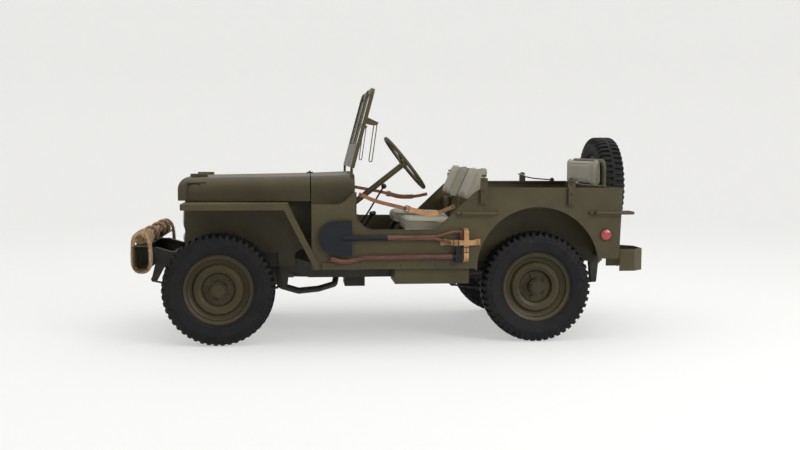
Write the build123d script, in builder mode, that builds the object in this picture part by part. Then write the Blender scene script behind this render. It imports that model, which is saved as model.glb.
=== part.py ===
"""Open army 4x4 car with folding windshield, tools on its side and spare wheel on its back.

Millimetres. +X is forward, +Y the driver's (left) side, +Z up. The origin is on the
ground at the middle of the car's length and width.
"""

import os
from math import atan2, cos, degrees, radians, sin, tan

from build123d import *

os.makedirs("parts", exist_ok=True)

# ---- overall ----
WHEELBASE = 2032
TRACK = 1226
FRONT_REACH = 544  # front axle to the foremost turn of the tow rope
REAR_REACH = 744  # rear axle to the tread of the spare wheel
TUB_WIDTH = 1460
FENDER_WIDTH = 1490
SHEET = 4  # body panels
PLATE = 6  # frame and bumper plate
SEAM = 6  # running gap round panels that move
PIN_PLAY = 0.5  # between a pin and its bore

# ---- stations along the car ----
MIDDLE = (REAR_REACH - FRONT_REACH) / 2
FRONT_AXLE = MIDDLE + WHEELBASE / 2
REAR_AXLE = MIDDLE - WHEELBASE / 2
BUMPER_FACE = FRONT_AXLE + 519
GRILLE_BACK = FRONT_AXLE + 225
HOOD_NOSE = FRONT_AXLE + 274
COWL_FRONT = FRONT_AXLE - 584
DASH_BACK = FRONT_AXLE - 863
STEP_REAR = DASH_BACK - 24
SEAT_FRONT = REAR_AXLE + 866
FLOOR_RISER = REAR_AXLE + 429
TUB_REAR = REAR_AXLE - 543

# ---- heights ----
SILL_Z = 487
FLOOR_Z = 502  # top of the front floor
REAR_FLOOR_Z = 600
WHEELHOUSE_Z = 884
TUB_TOP = 998
FENDER_TOP = 900
HOOD_FRONT_TOP = 1062
HOOD_REAR_TOP = 1078
COWL_TOP = 1088

# ---- wheels ----
TYRE_RADIUS = 356
TYRE_WIDTH = 160
LUG_HEIGHT = 15
LUGS_AROUND = 24
RIM_RADIUS = 222
RIM_WIDTH = 122
RIM_SHEET = 5
AXLE_Z = TYRE_RADIUS
KINGPIN_Y = 505
SPINDLE_RADIUS = 20
HUB_RADIUS = 50
DRUM_RADIUS = 130

# ---- chassis ----
RAIL_OUTER = 371
RAIL_WIDTH = 50
RAIL_HEIGHT = 102
RAIL_Z = 395  # underside between the axles
RAIL_FRONT_Z = 470
RAIL_REAR_Z = 490
AXLE_TUBE = 35
SPRING_Y = 345
SPRING_WIDTH = 44
LEAF = 6
LEAVES = 6
DIFF_Y = -180
DIFF_RADIUS = 98

# ---- bodywork ----
HOOD_FRONT_HALF = 400
HOOD_REAR_HALF = 510
COWL_REAR_HALF = 585
APRON_Y = 408
WHEELHOUSE_Y = 456
SEAT_Y = 395
TUBE = 28  # outer diameter of the seat frames' tube


def side(y):
    """Plane across the car at y, drawn in x and z, with extrusions going to -y."""
    return Plane.XZ.offset(-y)


def front(x):
    """Plane across the car at x, drawn in y and z, with extrusions going forward."""
    return Plane.YZ.offset(x)


def outline(rows):
    """Face inside a closed outline given as rows of (across, up, corner radius)."""
    with BuildLine() as edge:
        FilletPolyline(*[row[:2] for row in rows], radius=[row[2] for row in rows], close=True)
    make_face(edge.edges())


def bent_sheet(points, thickness):
    """Face of a bent sheet: a path of (across, up) and its copy to the left by the thickness."""
    path = [Vector(*point) for point in points]
    lefts = [(b - a).normalized().rotate(Axis.Z, 90) for a, b in zip(path, path[1:])]
    lefts = [lefts[0], *lefts, lefts[-1]]
    copy = [
        corner + (before + after) * (thickness / (1 + before.dot(after)))
        for corner, before, after in zip(path, lefts, lefts[1:])
    ]
    with BuildLine() as edge:
        Polyline(*path, *reversed(copy), close=True)
    make_face(edge.edges())


def tube(points, diameter, bend, mode=Mode.ADD):
    """Round bar or tube along straight runs joined by bends of one radius."""
    with BuildLine() as path:
        if len(points) > 2:
            FilletPolyline(*points, radius=bend)
        else:
            Line(*points)
    with BuildSketch(Plane(origin=path.line @ 0, z_dir=path.line % 0)) as section:
        Circle(diameter / 2)
    if len(points) > 2:
        sweep(section.sketch, path=path.line, mode=mode)
    else:
        extrude(section.sketch, amount=(path.line @ 1 - path.line @ 0).length, mode=mode)


def box(x, y, z):
    """Box between pairs of limits on x, y and z."""
    with BuildSketch(Plane.XY.offset(z[0])) as base:
        with Locations(((x[0] + x[1]) / 2, (y[0] + y[1]) / 2)):
            Rectangle(x[1] - x[0], y[1] - y[0])
    extrude(base.sketch, amount=z[1] - z[0])


def finish(block, label):
    """Names the piece and writes it."""
    block.part.label = label
    export_step(block.part, f"parts/{label}.step")


# ---------------------------------------------------------------- chassis frame
# rows: x, underside of the rail
RAIL_STEPS = [
    (TUB_REAR + 24, RAIL_REAR_Z),
    (REAR_AXLE + 236, RAIL_REAR_Z),
    (REAR_AXLE + 416, RAIL_Z),
    (FRONT_AXLE - 566, RAIL_Z),
    (FRONT_AXLE - 366, RAIL_FRONT_Z),
    (FRONT_AXLE + 330, RAIL_FRONT_Z),
]
BUMPER_DEPTH = 85
HORN_END = BUMPER_FACE - PLATE
HORN_ROOT = BUMPER_FACE - BUMPER_DEPTH - 12
HORN_Z = (500, 600)
RAIL_OUTLINE = (
    [(x, z, 60 if 0 < i else 0) for i, (x, z) in enumerate(RAIL_STEPS)]
    + [(x, HORN_Z[0], 0) for x in (HORN_ROOT, HORN_END)]
    + [(x, HORN_Z[1], 0) for x in (HORN_END, HORN_ROOT)]
    + [(x, z + RAIL_HEIGHT, 60 if 0 < i else 0) for i, (x, z) in reversed(list(enumerate(RAIL_STEPS)))]
)

with BuildPart() as frame_rails:
    with BuildSketch(side(RAIL_OUTER)) as rail_face:
        outline(RAIL_OUTLINE)
    extrude(amount=RAIL_WIDTH)
    with BuildSketch(side(RAIL_OUTER - PLATE)):
        add(rail_face.sketch)
        offset(amount=-PLATE, mode=Mode.REPLACE)
    extrude(amount=RAIL_WIDTH, mode=Mode.SUBTRACT)
    mirror(about=Plane.XZ)
finish(frame_rails, "frame_rails")

RAIL_INNER = RAIL_OUTER - RAIL_WIDTH
CROSS_DEPTH = 60
HITCH_Z = 530
# rows: x of the middle, underside of the member
CROSS_MEMBERS = [
    (FRONT_AXLE + 330, RAIL_FRONT_Z + 20),
    (FRONT_AXLE + 134, RAIL_FRONT_Z - 32),
    (FRONT_AXLE - 850, RAIL_Z + 6),
    (REAR_AXLE + 330, RAIL_Z + 70),
    (TUB_REAR + 60, RAIL_REAR_Z + 20),
]
with BuildPart() as frame_crossmembers:
    for x, z in CROSS_MEMBERS:
        box((x - CROSS_DEPTH / 2, x + CROSS_DEPTH / 2), (-RAIL_INNER, RAIL_INNER), (z, z + 42))
    box((TUB_REAR - 12, TUB_REAR - 2), (-60, 60), (HITCH_Z - 60, HITCH_Z + 60))
    tube([(TUB_REAR - 8, 0, HITCH_Z), (TUB_REAR - 90, 0, HITCH_Z)], 44, 0)
    with BuildSketch(side(22)) as hook:
        with Locations((TUB_REAR - 120, HITCH_Z)):
            Circle(46)
            Circle(22, mode=Mode.SUBTRACT)
    extrude(hook.sketch, amount=44)
finish(frame_crossmembers, "frame_crossmembers")

# ---------------------------------------------------------------- bumpers
BUMPER_HALF = 670
BUMPER_Z = (486, 638)
with BuildPart() as front_bumper:
    with BuildSketch(Plane.XZ):
        bent_sheet(
            [
                (BUMPER_FACE - BUMPER_DEPTH, BUMPER_Z[1]),
                (BUMPER_FACE, BUMPER_Z[1]),
                (BUMPER_FACE, BUMPER_Z[0]),
                (BUMPER_FACE - BUMPER_DEPTH, BUMPER_Z[0]),
            ],
            -PLATE,
        )
    extrude(amount=BUMPER_HALF, both=True)
finish(front_bumper, "front_bumper")


ROPE = 24
ROPE_GAP = 0.5
with BuildPart() as tow_rope:
    low, high = BUMPER_Z[0] - ROPE / 2 - ROPE_GAP, BUMPER_Z[1] + ROPE / 2 + ROPE_GAP
    ahead, behind = BUMPER_FACE + ROPE / 2 + ROPE_GAP, BUMPER_FACE - BUMPER_DEPTH - ROPE / 2 - ROPE_GAP
    for strand in range(3):
        x = ahead - ROPE / 2 - (strand + 1) * (ROPE + ROPE_GAP)
        tube([(x, -BUMPER_HALF + 90, high), (x, BUMPER_HALF - 60, high)], ROPE, 0)
    for strand in range(2):
        x = ahead - ROPE / 2 - (strand + 1.5) * (ROPE + ROPE_GAP)
        tube([(x, -BUMPER_HALF + 120, high + ROPE * 0.9), (x, BUMPER_HALF - 80, high + ROPE * 0.9)], ROPE, 0)
    for y in (-610, -584, 606, 632):
        loop = [(ahead, y, low), (ahead, y, high + 2 * ROPE), (behind, y, high + 2 * ROPE), (behind, y, low)]
        with BuildLine() as path:
            FilletPolyline(*loop, radius=ROPE * 0.56, close=True)
        with BuildSketch(Plane(origin=path.line @ 0, z_dir=path.line % 0)) as section:
            Circle(ROPE / 2)
        sweep(section.sketch, path=path.line)
finish(tow_rope, "tow_rope")

GUARD_Z = (459, 600)
GUARD_REACH = 165
GUARD_Y = (395, 700)
with BuildPart() as rear_guards:
    with BuildSketch(Plane.XY.offset(GUARD_Z[0])):
        bent_sheet(
            [
                (TUB_REAR + 4, GUARD_Y[0]),
                (TUB_REAR - GUARD_REACH + 70, GUARD_Y[0]),
                (TUB_REAR - GUARD_REACH, GUARD_Y[0] + 70),
                (TUB_REAR - GUARD_REACH, GUARD_Y[1] - 70),
                (TUB_REAR - GUARD_REACH + 70, GUARD_Y[1]),
                (TUB_REAR + 4, GUARD_Y[1]),
            ],
            -PLATE,
        )
    extrude(amount=GUARD_Z[1] - GUARD_Z[0])
    mirror(about=Plane.XZ)
finish(rear_guards, "rear_guards")



# ---------------------------------------------------------------- axles, springs, steering links
BALL_RADIUS = 44
KINGPIN = 22
SPRING_TOP = AXLE_Z - AXLE_TUBE
with BuildPart() as front_axle:
    tube([(FRONT_AXLE, -KINGPIN_Y, AXLE_Z), (FRONT_AXLE, KINGPIN_Y, AXLE_Z)], 2 * AXLE_TUBE, 0)
    with Locations((FRONT_AXLE, DIFF_Y, AXLE_Z)):
        Sphere(DIFF_RADIUS)
    for end in (-1, 1):
        with Locations((FRONT_AXLE, end * KINGPIN_Y, AXLE_Z)):
            Sphere(BALL_RADIUS)
            Cylinder(KINGPIN / 2 + PIN_PLAY, 3 * BALL_RADIUS, mode=Mode.SUBTRACT)
        box(
            (FRONT_AXLE - 45, FRONT_AXLE + 45),
            (end * SPRING_Y - SPRING_WIDTH / 2, end * SPRING_Y + SPRING_WIDTH / 2),
            (SPRING_TOP + 7, SPRING_TOP + 30),
        )
    tube([(FRONT_AXLE - DIFF_RADIUS + 6, DIFF_Y, AXLE_Z), (FRONT_AXLE - DIFF_RADIUS - 60, DIFF_Y, AXLE_Z + 8)], 70, 0)
finish(front_axle, "front_axle")

HUB_FACE = TRACK / 2 - 68
with BuildPart() as rear_axle:
    tube([(REAR_AXLE, -HUB_FACE, AXLE_Z), (REAR_AXLE, HUB_FACE, AXLE_Z)], 2 * AXLE_TUBE, 0)
    tube([(REAR_AXLE, -TRACK / 2 - 30, AXLE_Z), (REAR_AXLE, TRACK / 2 + 30, AXLE_Z)], 2 * SPINDLE_RADIUS, 0)
    with Locations((REAR_AXLE, DIFF_Y, AXLE_Z)):
        Sphere(DIFF_RADIUS)
    for end in (-1, 1):
        box(
            (REAR_AXLE - 45, REAR_AXLE + 45),
            (end * SPRING_Y - SPRING_WIDTH / 2, end * SPRING_Y + SPRING_WIDTH / 2),
            (SPRING_TOP + 7, SPRING_TOP + 30),
        )
        with BuildSketch(side(end * HUB_FACE + 6)) as plate:
            with Locations((REAR_AXLE, AXLE_Z)):
                Circle(DRUM_RADIUS + 4)
        extrude(plate.sketch, amount=6 if end < 0 else 12)
    tube([(REAR_AXLE + DIFF_RADIUS - 6, DIFF_Y, AXLE_Z), (REAR_AXLE + DIFF_RADIUS + 60, DIFF_Y, AXLE_Z + 8)], 70, 0)
finish(rear_axle, "rear_axle")

# rows: x of the axle, front eye and rear eye as (x, z), shackled end (1 front, -1 rear)
SPRINGS = [
    (FRONT_AXLE, (FRONT_AXLE + 440, 392), (FRONT_AXLE - 410, 350), 1),
    (REAR_AXLE, (REAR_AXLE + 500, 345), (REAR_AXLE - 464, 362), -1),
]
EYE_RADIUS = 17
SEAT_PLAY = 0.9
LEAF_STEP = 0.14
SHACKLE_LEAN = 44


def rail_underside(x):
    """Underside of the frame rail at x."""
    rows = RAIL_STEPS + [(HORN_ROOT, HORN_Z[0]), (HORN_END, HORN_Z[0])]
    for (x0, z0), (x1, z1) in zip(rows, rows[1:]):
        if x0 <= x <= x1:
            return z0 + (z1 - z0) * (x - x0) / (x1 - x0)
    return rows[0][1]


with BuildPart() as leaf_springs:
    for axle, fore, aft, shackled in SPRINGS:
        with BuildLine() as main:
            ThreePointArc(
                (fore[0], fore[1] - EYE_RADIUS + LEAF),
                (axle, SPRING_TOP - SEAT_PLAY),
                (aft[0], aft[1] - EYE_RADIUS + LEAF),
            )
        centre = main.edge().arc_center
        bend = main.edge().radius
        fore_turn, aft_turn = (degrees(atan2(x - centre.X, centre.Y - z + EYE_RADIUS)) for x, z in (fore, aft))
        with BuildSketch(side(SPRING_Y + SPRING_WIDTH / 2)) as pack:
            for leaf in range(LEAVES):
                share = 1 - leaf * LEAF_STEP
                inner, outer = bend + leaf * LEAF, bend + (leaf + 1) * LEAF
                first, sweep_angle = -90 + aft_turn * share, (fore_turn - aft_turn) * share
                with BuildLine() as leaf_edge:
                    upper = CenterArc((centre.X, centre.Y), inner, first, sweep_angle)
                    lower = CenterArc((centre.X, centre.Y), outer, first, sweep_angle)
                    Line(upper @ 0, lower @ 0)
                    Line(upper @ 1, lower @ 1)
                make_face(leaf_edge.edges())
            with Locations(fore, aft):
                Circle(EYE_RADIUS)
        extrude(pack.sketch, amount=SPRING_WIDTH)
        for (x, z), lean in ((fore, -SHACKLE_LEAN if shackled > 0 else 0), (aft, 0)):
            for y in (SPRING_Y + SPRING_WIDTH / 2 + PLATE, SPRING_Y - SPRING_WIDTH / 2):
                with BuildSketch(side(y)) as hanger:
                    outline(
                        [
                            (x + lean - 30, rail_underside(x + lean - 30), 0),
                            (x + lean + 30, rail_underside(x + lean + 30), 0),
                            (x + 17, z - 17, 12),
                            (x - 17, z - 17, 12),
                        ]
                    )
                extrude(hanger.sketch, amount=PLATE)
    mirror(about=Plane.XZ)
finish(leaf_springs, "leaf_springs")

ARM_REACH = 140
ARM_Z = (336, 352)
LINK_BORE = 15
for end, name in ((1, "left"), (-1, "right")):
    with BuildPart() as knuckle:
        flange = KINGPIN_Y + 56
        box((FRONT_AXLE - 26, FRONT_AXLE + 26), sorted((end * (KINGPIN_Y - 24), end * flange)), (AXLE_Z + 49, AXLE_Z + 67))
        box((FRONT_AXLE - 26, FRONT_AXLE + 26), sorted((end * (KINGPIN_Y - 24), end * flange)), (AXLE_Z - 67, AXLE_Z - 49))
        with Locations((FRONT_AXLE, end * KINGPIN_Y, AXLE_Z)):
            with Locations((0, 0, 47), (0, 0, -47)):
                Cylinder(KINGPIN / 2, 60)
        with BuildSketch(side(max(end * flange, end * (flange - 6)))) as plate:
            with Locations((FRONT_AXLE, AXLE_Z)):
                Circle(DRUM_RADIUS + 4)
        extrude(plate.sketch, amount=6)
        tube(
            [(FRONT_AXLE, end * (flange - 2), AXLE_Z), (FRONT_AXLE, end * (TRACK / 2 + 30), AXLE_Z)],
            2 * SPINDLE_RADIUS,
            0,
        )
        with BuildSketch(Plane.XY.offset(ARM_Z[0])) as arm:
            outline(
                [
                    (FRONT_AXLE + 55, end * (flange - 4), 0),
                    (FRONT_AXLE + 100, end * (flange - 4), 0),
                    (FRONT_AXLE + ARM_REACH, end * (KINGPIN_Y + 14), 0),
                    (FRONT_AXLE + ARM_REACH, end * (KINGPIN_Y - 14), 0),
                    (FRONT_AXLE + 75, end * (KINGPIN_Y + 18), 0),
                    (FRONT_AXLE + 55, end * (KINGPIN_Y + 38), 0),
                ][:: end]
            )
            with Locations((FRONT_AXLE + ARM_REACH, end * KINGPIN_Y)):
                Circle(18)
        extrude(arm.sketch, amount=ARM_Z[1] - ARM_Z[0])
        with Locations((FRONT_AXLE + ARM_REACH, end * KINGPIN_Y, ARM_Z[1])):
            Cylinder(LINK_BORE / 2 - PIN_PLAY, 26, align=(Align.CENTER, Align.CENTER, Align.MIN))
    finish(knuckle, f"knuckle_{name}")

with BuildPart() as tie_rod:
    rod_x, rod_z = FRONT_AXLE + ARM_REACH, ARM_Z[1] + 12
    tube([(rod_x, -KINGPIN_Y, rod_z), (rod_x, KINGPIN_Y, rod_z)], 20, 0)
    with Locations(*[(rod_x, end * KINGPIN_Y, rod_z) for end in (-1, 1)]):
        Cylinder(18, 22)
        Cylinder(LINK_BORE / 2, 40, mode=Mode.SUBTRACT)
finish(tie_rod, "tie_rod")

# ---------------------------------------------------------------- wheels
CARCASS_RADIUS = TYRE_RADIUS - LUG_HEIGHT
BEAD_RADIUS = RIM_RADIUS - 19
# rows: radius and height over the wheel's middle plane, from the bead to the tread
TYRE_PROFILE = [
    (BEAD_RADIUS + 0.3, RIM_WIDTH / 2 - 10.6),
    (RIM_RADIUS - 3.4, RIM_WIDTH / 2 - 5.8),
    (RIM_RADIUS + 1, RIM_WIDTH / 2 - 0.4),
    (RIM_RADIUS + 10, RIM_WIDTH / 2 + 2),
    (RIM_RADIUS + 55, TYRE_WIDTH / 2),
    (CARCASS_RADIUS - 22, TYRE_WIDTH / 2 - 6),
    (CARCASS_RADIUS, TYRE_WIDTH / 2 - 26),
]
LUG_SPAN = 0.62  # of the half width, past the tyre's middle
WHEEL_PLANE = Plane(origin=(0, 0, 0), x_dir=(1, 0, 0), z_dir=(0, 1, 0))


# bars across the tread from either shoulder in turn
with BuildPart() as tyre:
    with BuildSketch(Plane.XZ):
        with BuildLine():
            Polyline(*TYRE_PROFILE, *[(r, -h) for r, h in reversed(TYRE_PROFILE)], close=True)
        make_face()
    revolve(axis=Axis.Z)
    step = 360 / LUGS_AROUND
    for half, turn in ((1, 0), (-1, step / 2)):
        with BuildSketch(Plane.XY.offset(-half * 8)) as bars:
            with PolarLocations(0, LUGS_AROUND, start_angle=turn):
                with Locations((CARCASS_RADIUS - 12, 0)):
                    Rectangle(LUG_HEIGHT + 30, 46, align=(Align.MIN, Align.CENTER))
            Circle(TYRE_RADIUS, mode=Mode.INTERSECT)
        extrude(bars.sketch, amount=half * TYRE_WIDTH / 2)

# pressed disc wheel, outer face towards +Z
BORE = SPINDLE_RADIUS + PIN_PLAY
DISC_Z = 8
with BuildPart() as disc_wheel:
    half = RIM_WIDTH / 2
    with BuildSketch(Plane.XZ) as section:
        bent_sheet(
            [
                (RIM_RADIUS, half),
                (RIM_RADIUS - 4, half - 5),
                (BEAD_RADIUS - 0.3, half - 10),
                (BEAD_RADIUS - 4, 30),
                (BEAD_RADIUS - 18, 22),
                (BEAD_RADIUS - 18, -22),
                (BEAD_RADIUS - 4, -30),
                (BEAD_RADIUS - 0.3, -half + 10),
                (RIM_RADIUS - 4, -half + 5),
                (RIM_RADIUS, -half),
            ],
            -RIM_SHEET,
        )
        bent_sheet(
            [
                (BORE + 2, 8),
                (100, 8),
                (112, 34),
                (128, 40),
                (150, 38),
                (166, 20),
                (BEAD_RADIUS - 20, 18),
            ],
            RIM_SHEET,
        )
    revolve(section.sketch, axis=Axis.Z)

# road wheel: the disc wheel with its hub, nuts and brake drum
with BuildPart() as road_wheel:
    add(disc_wheel.part)
    with BuildSketch(Plane.XY.offset(DISC_Z)) as boss:
        Circle(HUB_RADIUS)
        Circle(BORE, mode=Mode.SUBTRACT)
    extrude(boss.sketch, amount=52)
    with BuildSketch(Plane.XY.offset(-46)) as drum:
        Circle(DRUM_RADIUS)
        Circle(BORE, mode=Mode.SUBTRACT)
    extrude(drum.sketch, amount=54)
    with BuildSketch(Plane.XY.offset(8)) as studs:
        with PolarLocations(72, 5):
            RegularPolygon(11, 6)
    extrude(studs.sketch, amount=18)
    with BuildSketch(Plane.XY.offset(60)) as cap:
        Circle(HUB_RADIUS - 12)
    extrude(cap.sketch, amount=14)


SPARE_Y = -190
SPARE_Z = 974
SPARE_X = TUB_REAR - 121
STATIONS = [
    ("front_left", Plane(origin=(FRONT_AXLE, TRACK / 2, AXLE_Z), x_dir=(1, 0, 0), z_dir=(0, 1, 0))),
    ("front_right", Plane(origin=(FRONT_AXLE, -TRACK / 2, AXLE_Z), x_dir=(1, 0, 0), z_dir=(0, -1, 0))),
    ("rear_left", Plane(origin=(REAR_AXLE, TRACK / 2, AXLE_Z), x_dir=(1, 0, 0), z_dir=(0, 1, 0))),
    ("rear_right", Plane(origin=(REAR_AXLE, -TRACK / 2, AXLE_Z), x_dir=(1, 0, 0), z_dir=(0, -1, 0))),
    ("spare", Plane(origin=(SPARE_X, SPARE_Y, SPARE_Z), x_dir=(0, 1, 0), z_dir=(-1, 0, 0))),
]
for name, place in STATIONS:
    for block, kind in ((tyre, "tyre"), (disc_wheel if name == "spare" else road_wheel, "wheel")):
        piece = place * block.part
        piece.label = f"{kind}_{name}"
        export_step(piece, f"parts/{kind}_{name}.step")


# ---------------------------------------------------------------- engine, gearbox, drive line
MEMBER_TOP = RAIL_FRONT_Z - 32 + 42
with BuildPart() as engine_block:
    box((COWL_FRONT + 218, FRONT_AXLE + 124), (-160, 160), (MEMBER_TOP, MEMBER_TOP + 400))
finish(engine_block, "engine_block")

GEARBOX_TOP = 590
with BuildPart() as gearbox:
    tube([(COWL_FRONT + 218, 0, 500), (COWL_FRONT + 118, 0, 500)], 300, 0)
    box((FRONT_AXLE - 880, COWL_FRONT + 118), (-110, 80), (RAIL_Z + 48, GEARBOX_TOP))
    box((FRONT_AXLE - 960, FRONT_AXLE - 820), (-230, 40), (290, RAIL_Z + 6))
finish(gearbox, "gearbox")

SHAFT = 50
SHAFT_Z = 350
with BuildPart() as drive_shafts:
    nose_x, tail_x = FRONT_AXLE - 820, FRONT_AXLE - 960
    tube([(FRONT_AXLE - DIFF_RADIUS - 66, DIFF_Y, AXLE_Z + 8), (nose_x + 2, DIFF_Y, SHAFT_Z)], SHAFT, 0)
    tube([(tail_x - 2, DIFF_Y, SHAFT_Z), (REAR_AXLE + DIFF_RADIUS + 66, DIFF_Y, AXLE_Z + 8)], SHAFT, 0)
finish(drive_shafts, "drive_shafts")

PIPE = 44
with BuildPart() as exhaust:
    tube(
        [
            (FRONT_AXLE - 340, 182, 520),
            (FRONT_AXLE - 370, 182, 320),
            (FRONT_AXLE - 500, 90, 268),
            (FRONT_AXLE - 640, -90, 256),
            (FRONT_AXLE - 760, -300, 262),
            (FRONT_AXLE - 800, -470, 420),
            (FRONT_AXLE - 920, -500, 430),
        ],
        PIPE,
        50,
    )
    tube([(FRONT_AXLE - 918, -500, 430), (FRONT_AXLE - 1500, -500, 430)], 110, 0)
    tube([(FRONT_AXLE - 1498, -500, 430), (FRONT_AXLE - 1560, -500, 430), (FRONT_AXLE - 1590, -640, 430)], PIPE, 30)
finish(exhaust, "exhaust")

with BuildPart() as radiator:
    box((GRILLE_BACK - 90, GRILLE_BACK - 30), (-200, 200), (RAIL_FRONT_Z + 62, 960))
finish(radiator, "radiator")

# ---------------------------------------------------------------- grille and lamps
GRILLE_TOP = 990
GRILLE_SHEET = 4
GRILLE_HALF = HOOD_FRONT_HALF - SHEET - SEAM
SLOTS = 9
SLOT_PITCH = 45
SLOT = (26, 330)
LAMP_Y = 300
LAMP_Z = 790
LAMP_RADIUS = 86
MARKER_Z = 660
MARKER_RADIUS = 40
with BuildPart() as grille:
    with BuildSketch(front(GRILLE_BACK)) as face:
        outline(
            [
                (-APRON_Y, RAIL_FRONT_Z + RAIL_HEIGHT + 3, 30),
                (APRON_Y, RAIL_FRONT_Z + RAIL_HEIGHT + 3, 30),
                (APRON_Y, FENDER_TOP - SHEET, 0),
                (GRILLE_HALF, FENDER_TOP - SHEET, 0),
                (GRILLE_HALF, GRILLE_TOP, 70),
                (-GRILLE_HALF, GRILLE_TOP, 70),
                (-GRILLE_HALF, FENDER_TOP - SHEET, 0),
                (-APRON_Y, FENDER_TOP - SHEET, 0),
            ]
        )
        with Locations((0, 780)):
            with GridLocations(SLOT_PITCH, 1, SLOTS, 1):
                SlotOverall(SLOT[1], SLOT[0], rotation=90, mode=Mode.SUBTRACT)
        with Locations((LAMP_Y, LAMP_Z), (-LAMP_Y, LAMP_Z)):
            Circle(LAMP_RADIUS + 4, mode=Mode.SUBTRACT)
        with Locations((LAMP_Y, MARKER_Z), (-LAMP_Y, MARKER_Z)):
            Circle(MARKER_RADIUS + 3, mode=Mode.SUBTRACT)
    extrude(face.sketch, amount=GRILLE_SHEET)
finish(grille, "grille")

with BuildPart() as lamps:
    for y in (LAMP_Y, -LAMP_Y):
        for z, radius, depth in ((LAMP_Z, LAMP_RADIUS, 80), (MARKER_Z, MARKER_RADIUS, 40)):
            with BuildSketch(front(GRILLE_BACK - depth)) as can:
                with Locations((y, z)):
                    Circle(radius)
            extrude(can.sketch, amount=depth + 12)
            with BuildSketch(front(GRILLE_BACK + GRILLE_SHEET + 0.3)) as ring:
                with Locations((y, z)):
                    Circle(radius + 9)
            extrude(ring.sketch, amount=7)
finish(lamps, "lamps")

# ---------------------------------------------------------------- fenders
FENDER_HALF = FENDER_WIDTH / 2
FENDER_FRONT = FRONT_AXLE + 223
FENDER_REAR = FRONT_AXLE - 436
FENDER_FOOT = (FRONT_AXLE - 641, 500)
FLANGE_DEPTH = 38
FENDER_PATH = [(FENDER_FRONT, FENDER_TOP), (FENDER_REAR, FENDER_TOP), FENDER_FOOT]
with BuildPart() as front_fenders:
    with BuildSketch(side(FENDER_HALF)) as skin:
        bent_sheet(FENDER_PATH, SHEET)
    extrude(skin.sketch, amount=FENDER_HALF - APRON_Y)
    with BuildSketch(side(FENDER_HALF)) as flange:
        bent_sheet(FENDER_PATH, FLANGE_DEPTH)
    extrude(flange.sketch, amount=SHEET)
    with BuildSketch(side(APRON_Y + SHEET)) as apron:
        outline(
            [
                (GRILLE_BACK, 565, 0),
                (GRILLE_BACK, FENDER_TOP, 0),
                (COWL_FRONT, FENDER_TOP, 0),
                (COWL_FRONT, 600, 0),
                (FRONT_AXLE - 420, 565, 0),
            ]
        )
    extrude(apron.sketch, amount=SHEET)
    with BuildSketch(Plane.XY.offset(SILL_Z - 20)) as tub_room:
        with Locations((COWL_FRONT + 0.3 - 200, 0)):
            Rectangle(400, TUB_WIDTH + 0.6)
    extrude(tub_room.sketch, amount=FENDER_TOP - SILL_Z - 2, mode=Mode.SUBTRACT)
    mirror(about=Plane.XZ)
finish(front_fenders, "front_fenders")

# ---------------------------------------------------------------- tub
TUB_HALF = TUB_WIDTH / 2
INNER_HALF = TUB_HALF - SHEET
DOOR_SILL = 735
DOOR_FLAT_END = REAR_AXLE + 731
DOOR_RISE = 54  # degrees
DOOR_ARC = 80
DOOR_CREST = REAR_AXLE + 387
ARCH_X = REAR_AXLE + 4
ARCH_Z = 480
ARCH_RADIUS = 396
QUARTER_Z = 543
LEDGE_Z = 890
LEDGE_TOP = 985
LEDGE_BEND = DASH_BACK + 92
REAR_LEAN = 18  # the rear panel's foot stands this far forward of its top
SIDE_OUTLINE = [
    (TUB_REAR, TUB_TOP, 0),
    (DOOR_CREST, TUB_TOP, 130),
    (DOOR_FLAT_END - 65, DOOR_SILL, 70),
    (DASH_BACK, DOOR_SILL, 115),
    (DASH_BACK, LEDGE_TOP, 10),
    (LEDGE_BEND, LEDGE_Z, 90),
    (COWL_FRONT, LEDGE_Z, 0),
    (COWL_FRONT, SILL_Z, 0),
    (ARCH_X + ARCH_RADIUS + 20, SILL_Z, 0),
    (ARCH_X + ARCH_RADIUS - 60, SILL_Z - 60, 0),
    (ARCH_X - ARCH_RADIUS + 60, SILL_Z - 60, 0),
    (ARCH_X - ARCH_RADIUS - 20, QUARTER_Z, 0),
    (TUB_REAR + REAR_LEAN, QUARTER_Z, 0),
]
for end, name in ((1, "left"), (-1, "right")):
    with BuildPart() as body_side:
        with BuildSketch(side(end * TUB_HALF)) as panel:
            outline(SIDE_OUTLINE)
            with Locations((ARCH_X, ARCH_Z)):
                Circle(ARCH_RADIUS, mode=Mode.SUBTRACT)
        extrude(panel.sketch, amount=end * SHEET)
        with BuildSketch(side(end * INNER_HALF)) as lip:
            with Locations(((TUB_REAR + 2 * SHEET + DOOR_CREST - 20) / 2, TUB_TOP - 6)):
                Rectangle(DOOR_CREST - 20 - TUB_REAR - 2 * SHEET, 12)
        extrude(lip.sketch, amount=end * 18)
        with BuildSketch(side(end * (TUB_HALF + 8))) as step:
            with Locations(((STEP_REAR + COWL_FRONT - 64) / 2, SILL_Z + 22)):
                Rectangle(COWL_FRONT - 64 - STEP_REAR, 44)
        extrude(step.sketch, amount=end * 8)
    finish(body_side, f"body_side_{name}")

with BuildPart() as rear_panel:
    with BuildSketch(side(INNER_HALF)) as skin:
        bent_sheet([(TUB_REAR + REAR_LEAN, QUARTER_Z), (TUB_REAR, TUB_TOP)], -SHEET)
    extrude(skin.sketch, amount=2 * INNER_HALF)
finish(rear_panel, "rear_panel")

HOUSE_FRONT = ARCH_X + ARCH_RADIUS + 27
HOUSE_REAR = ARCH_X - ARCH_RADIUS - 39
PANEL_GAP = 0.3


def rear_inside(z):
    """Inner face of the leaning rear panel at a height."""
    return TUB_REAR + SHEET + PANEL_GAP + REAR_LEAN * (TUB_TOP - z) / (TUB_TOP - QUARTER_Z)


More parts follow.
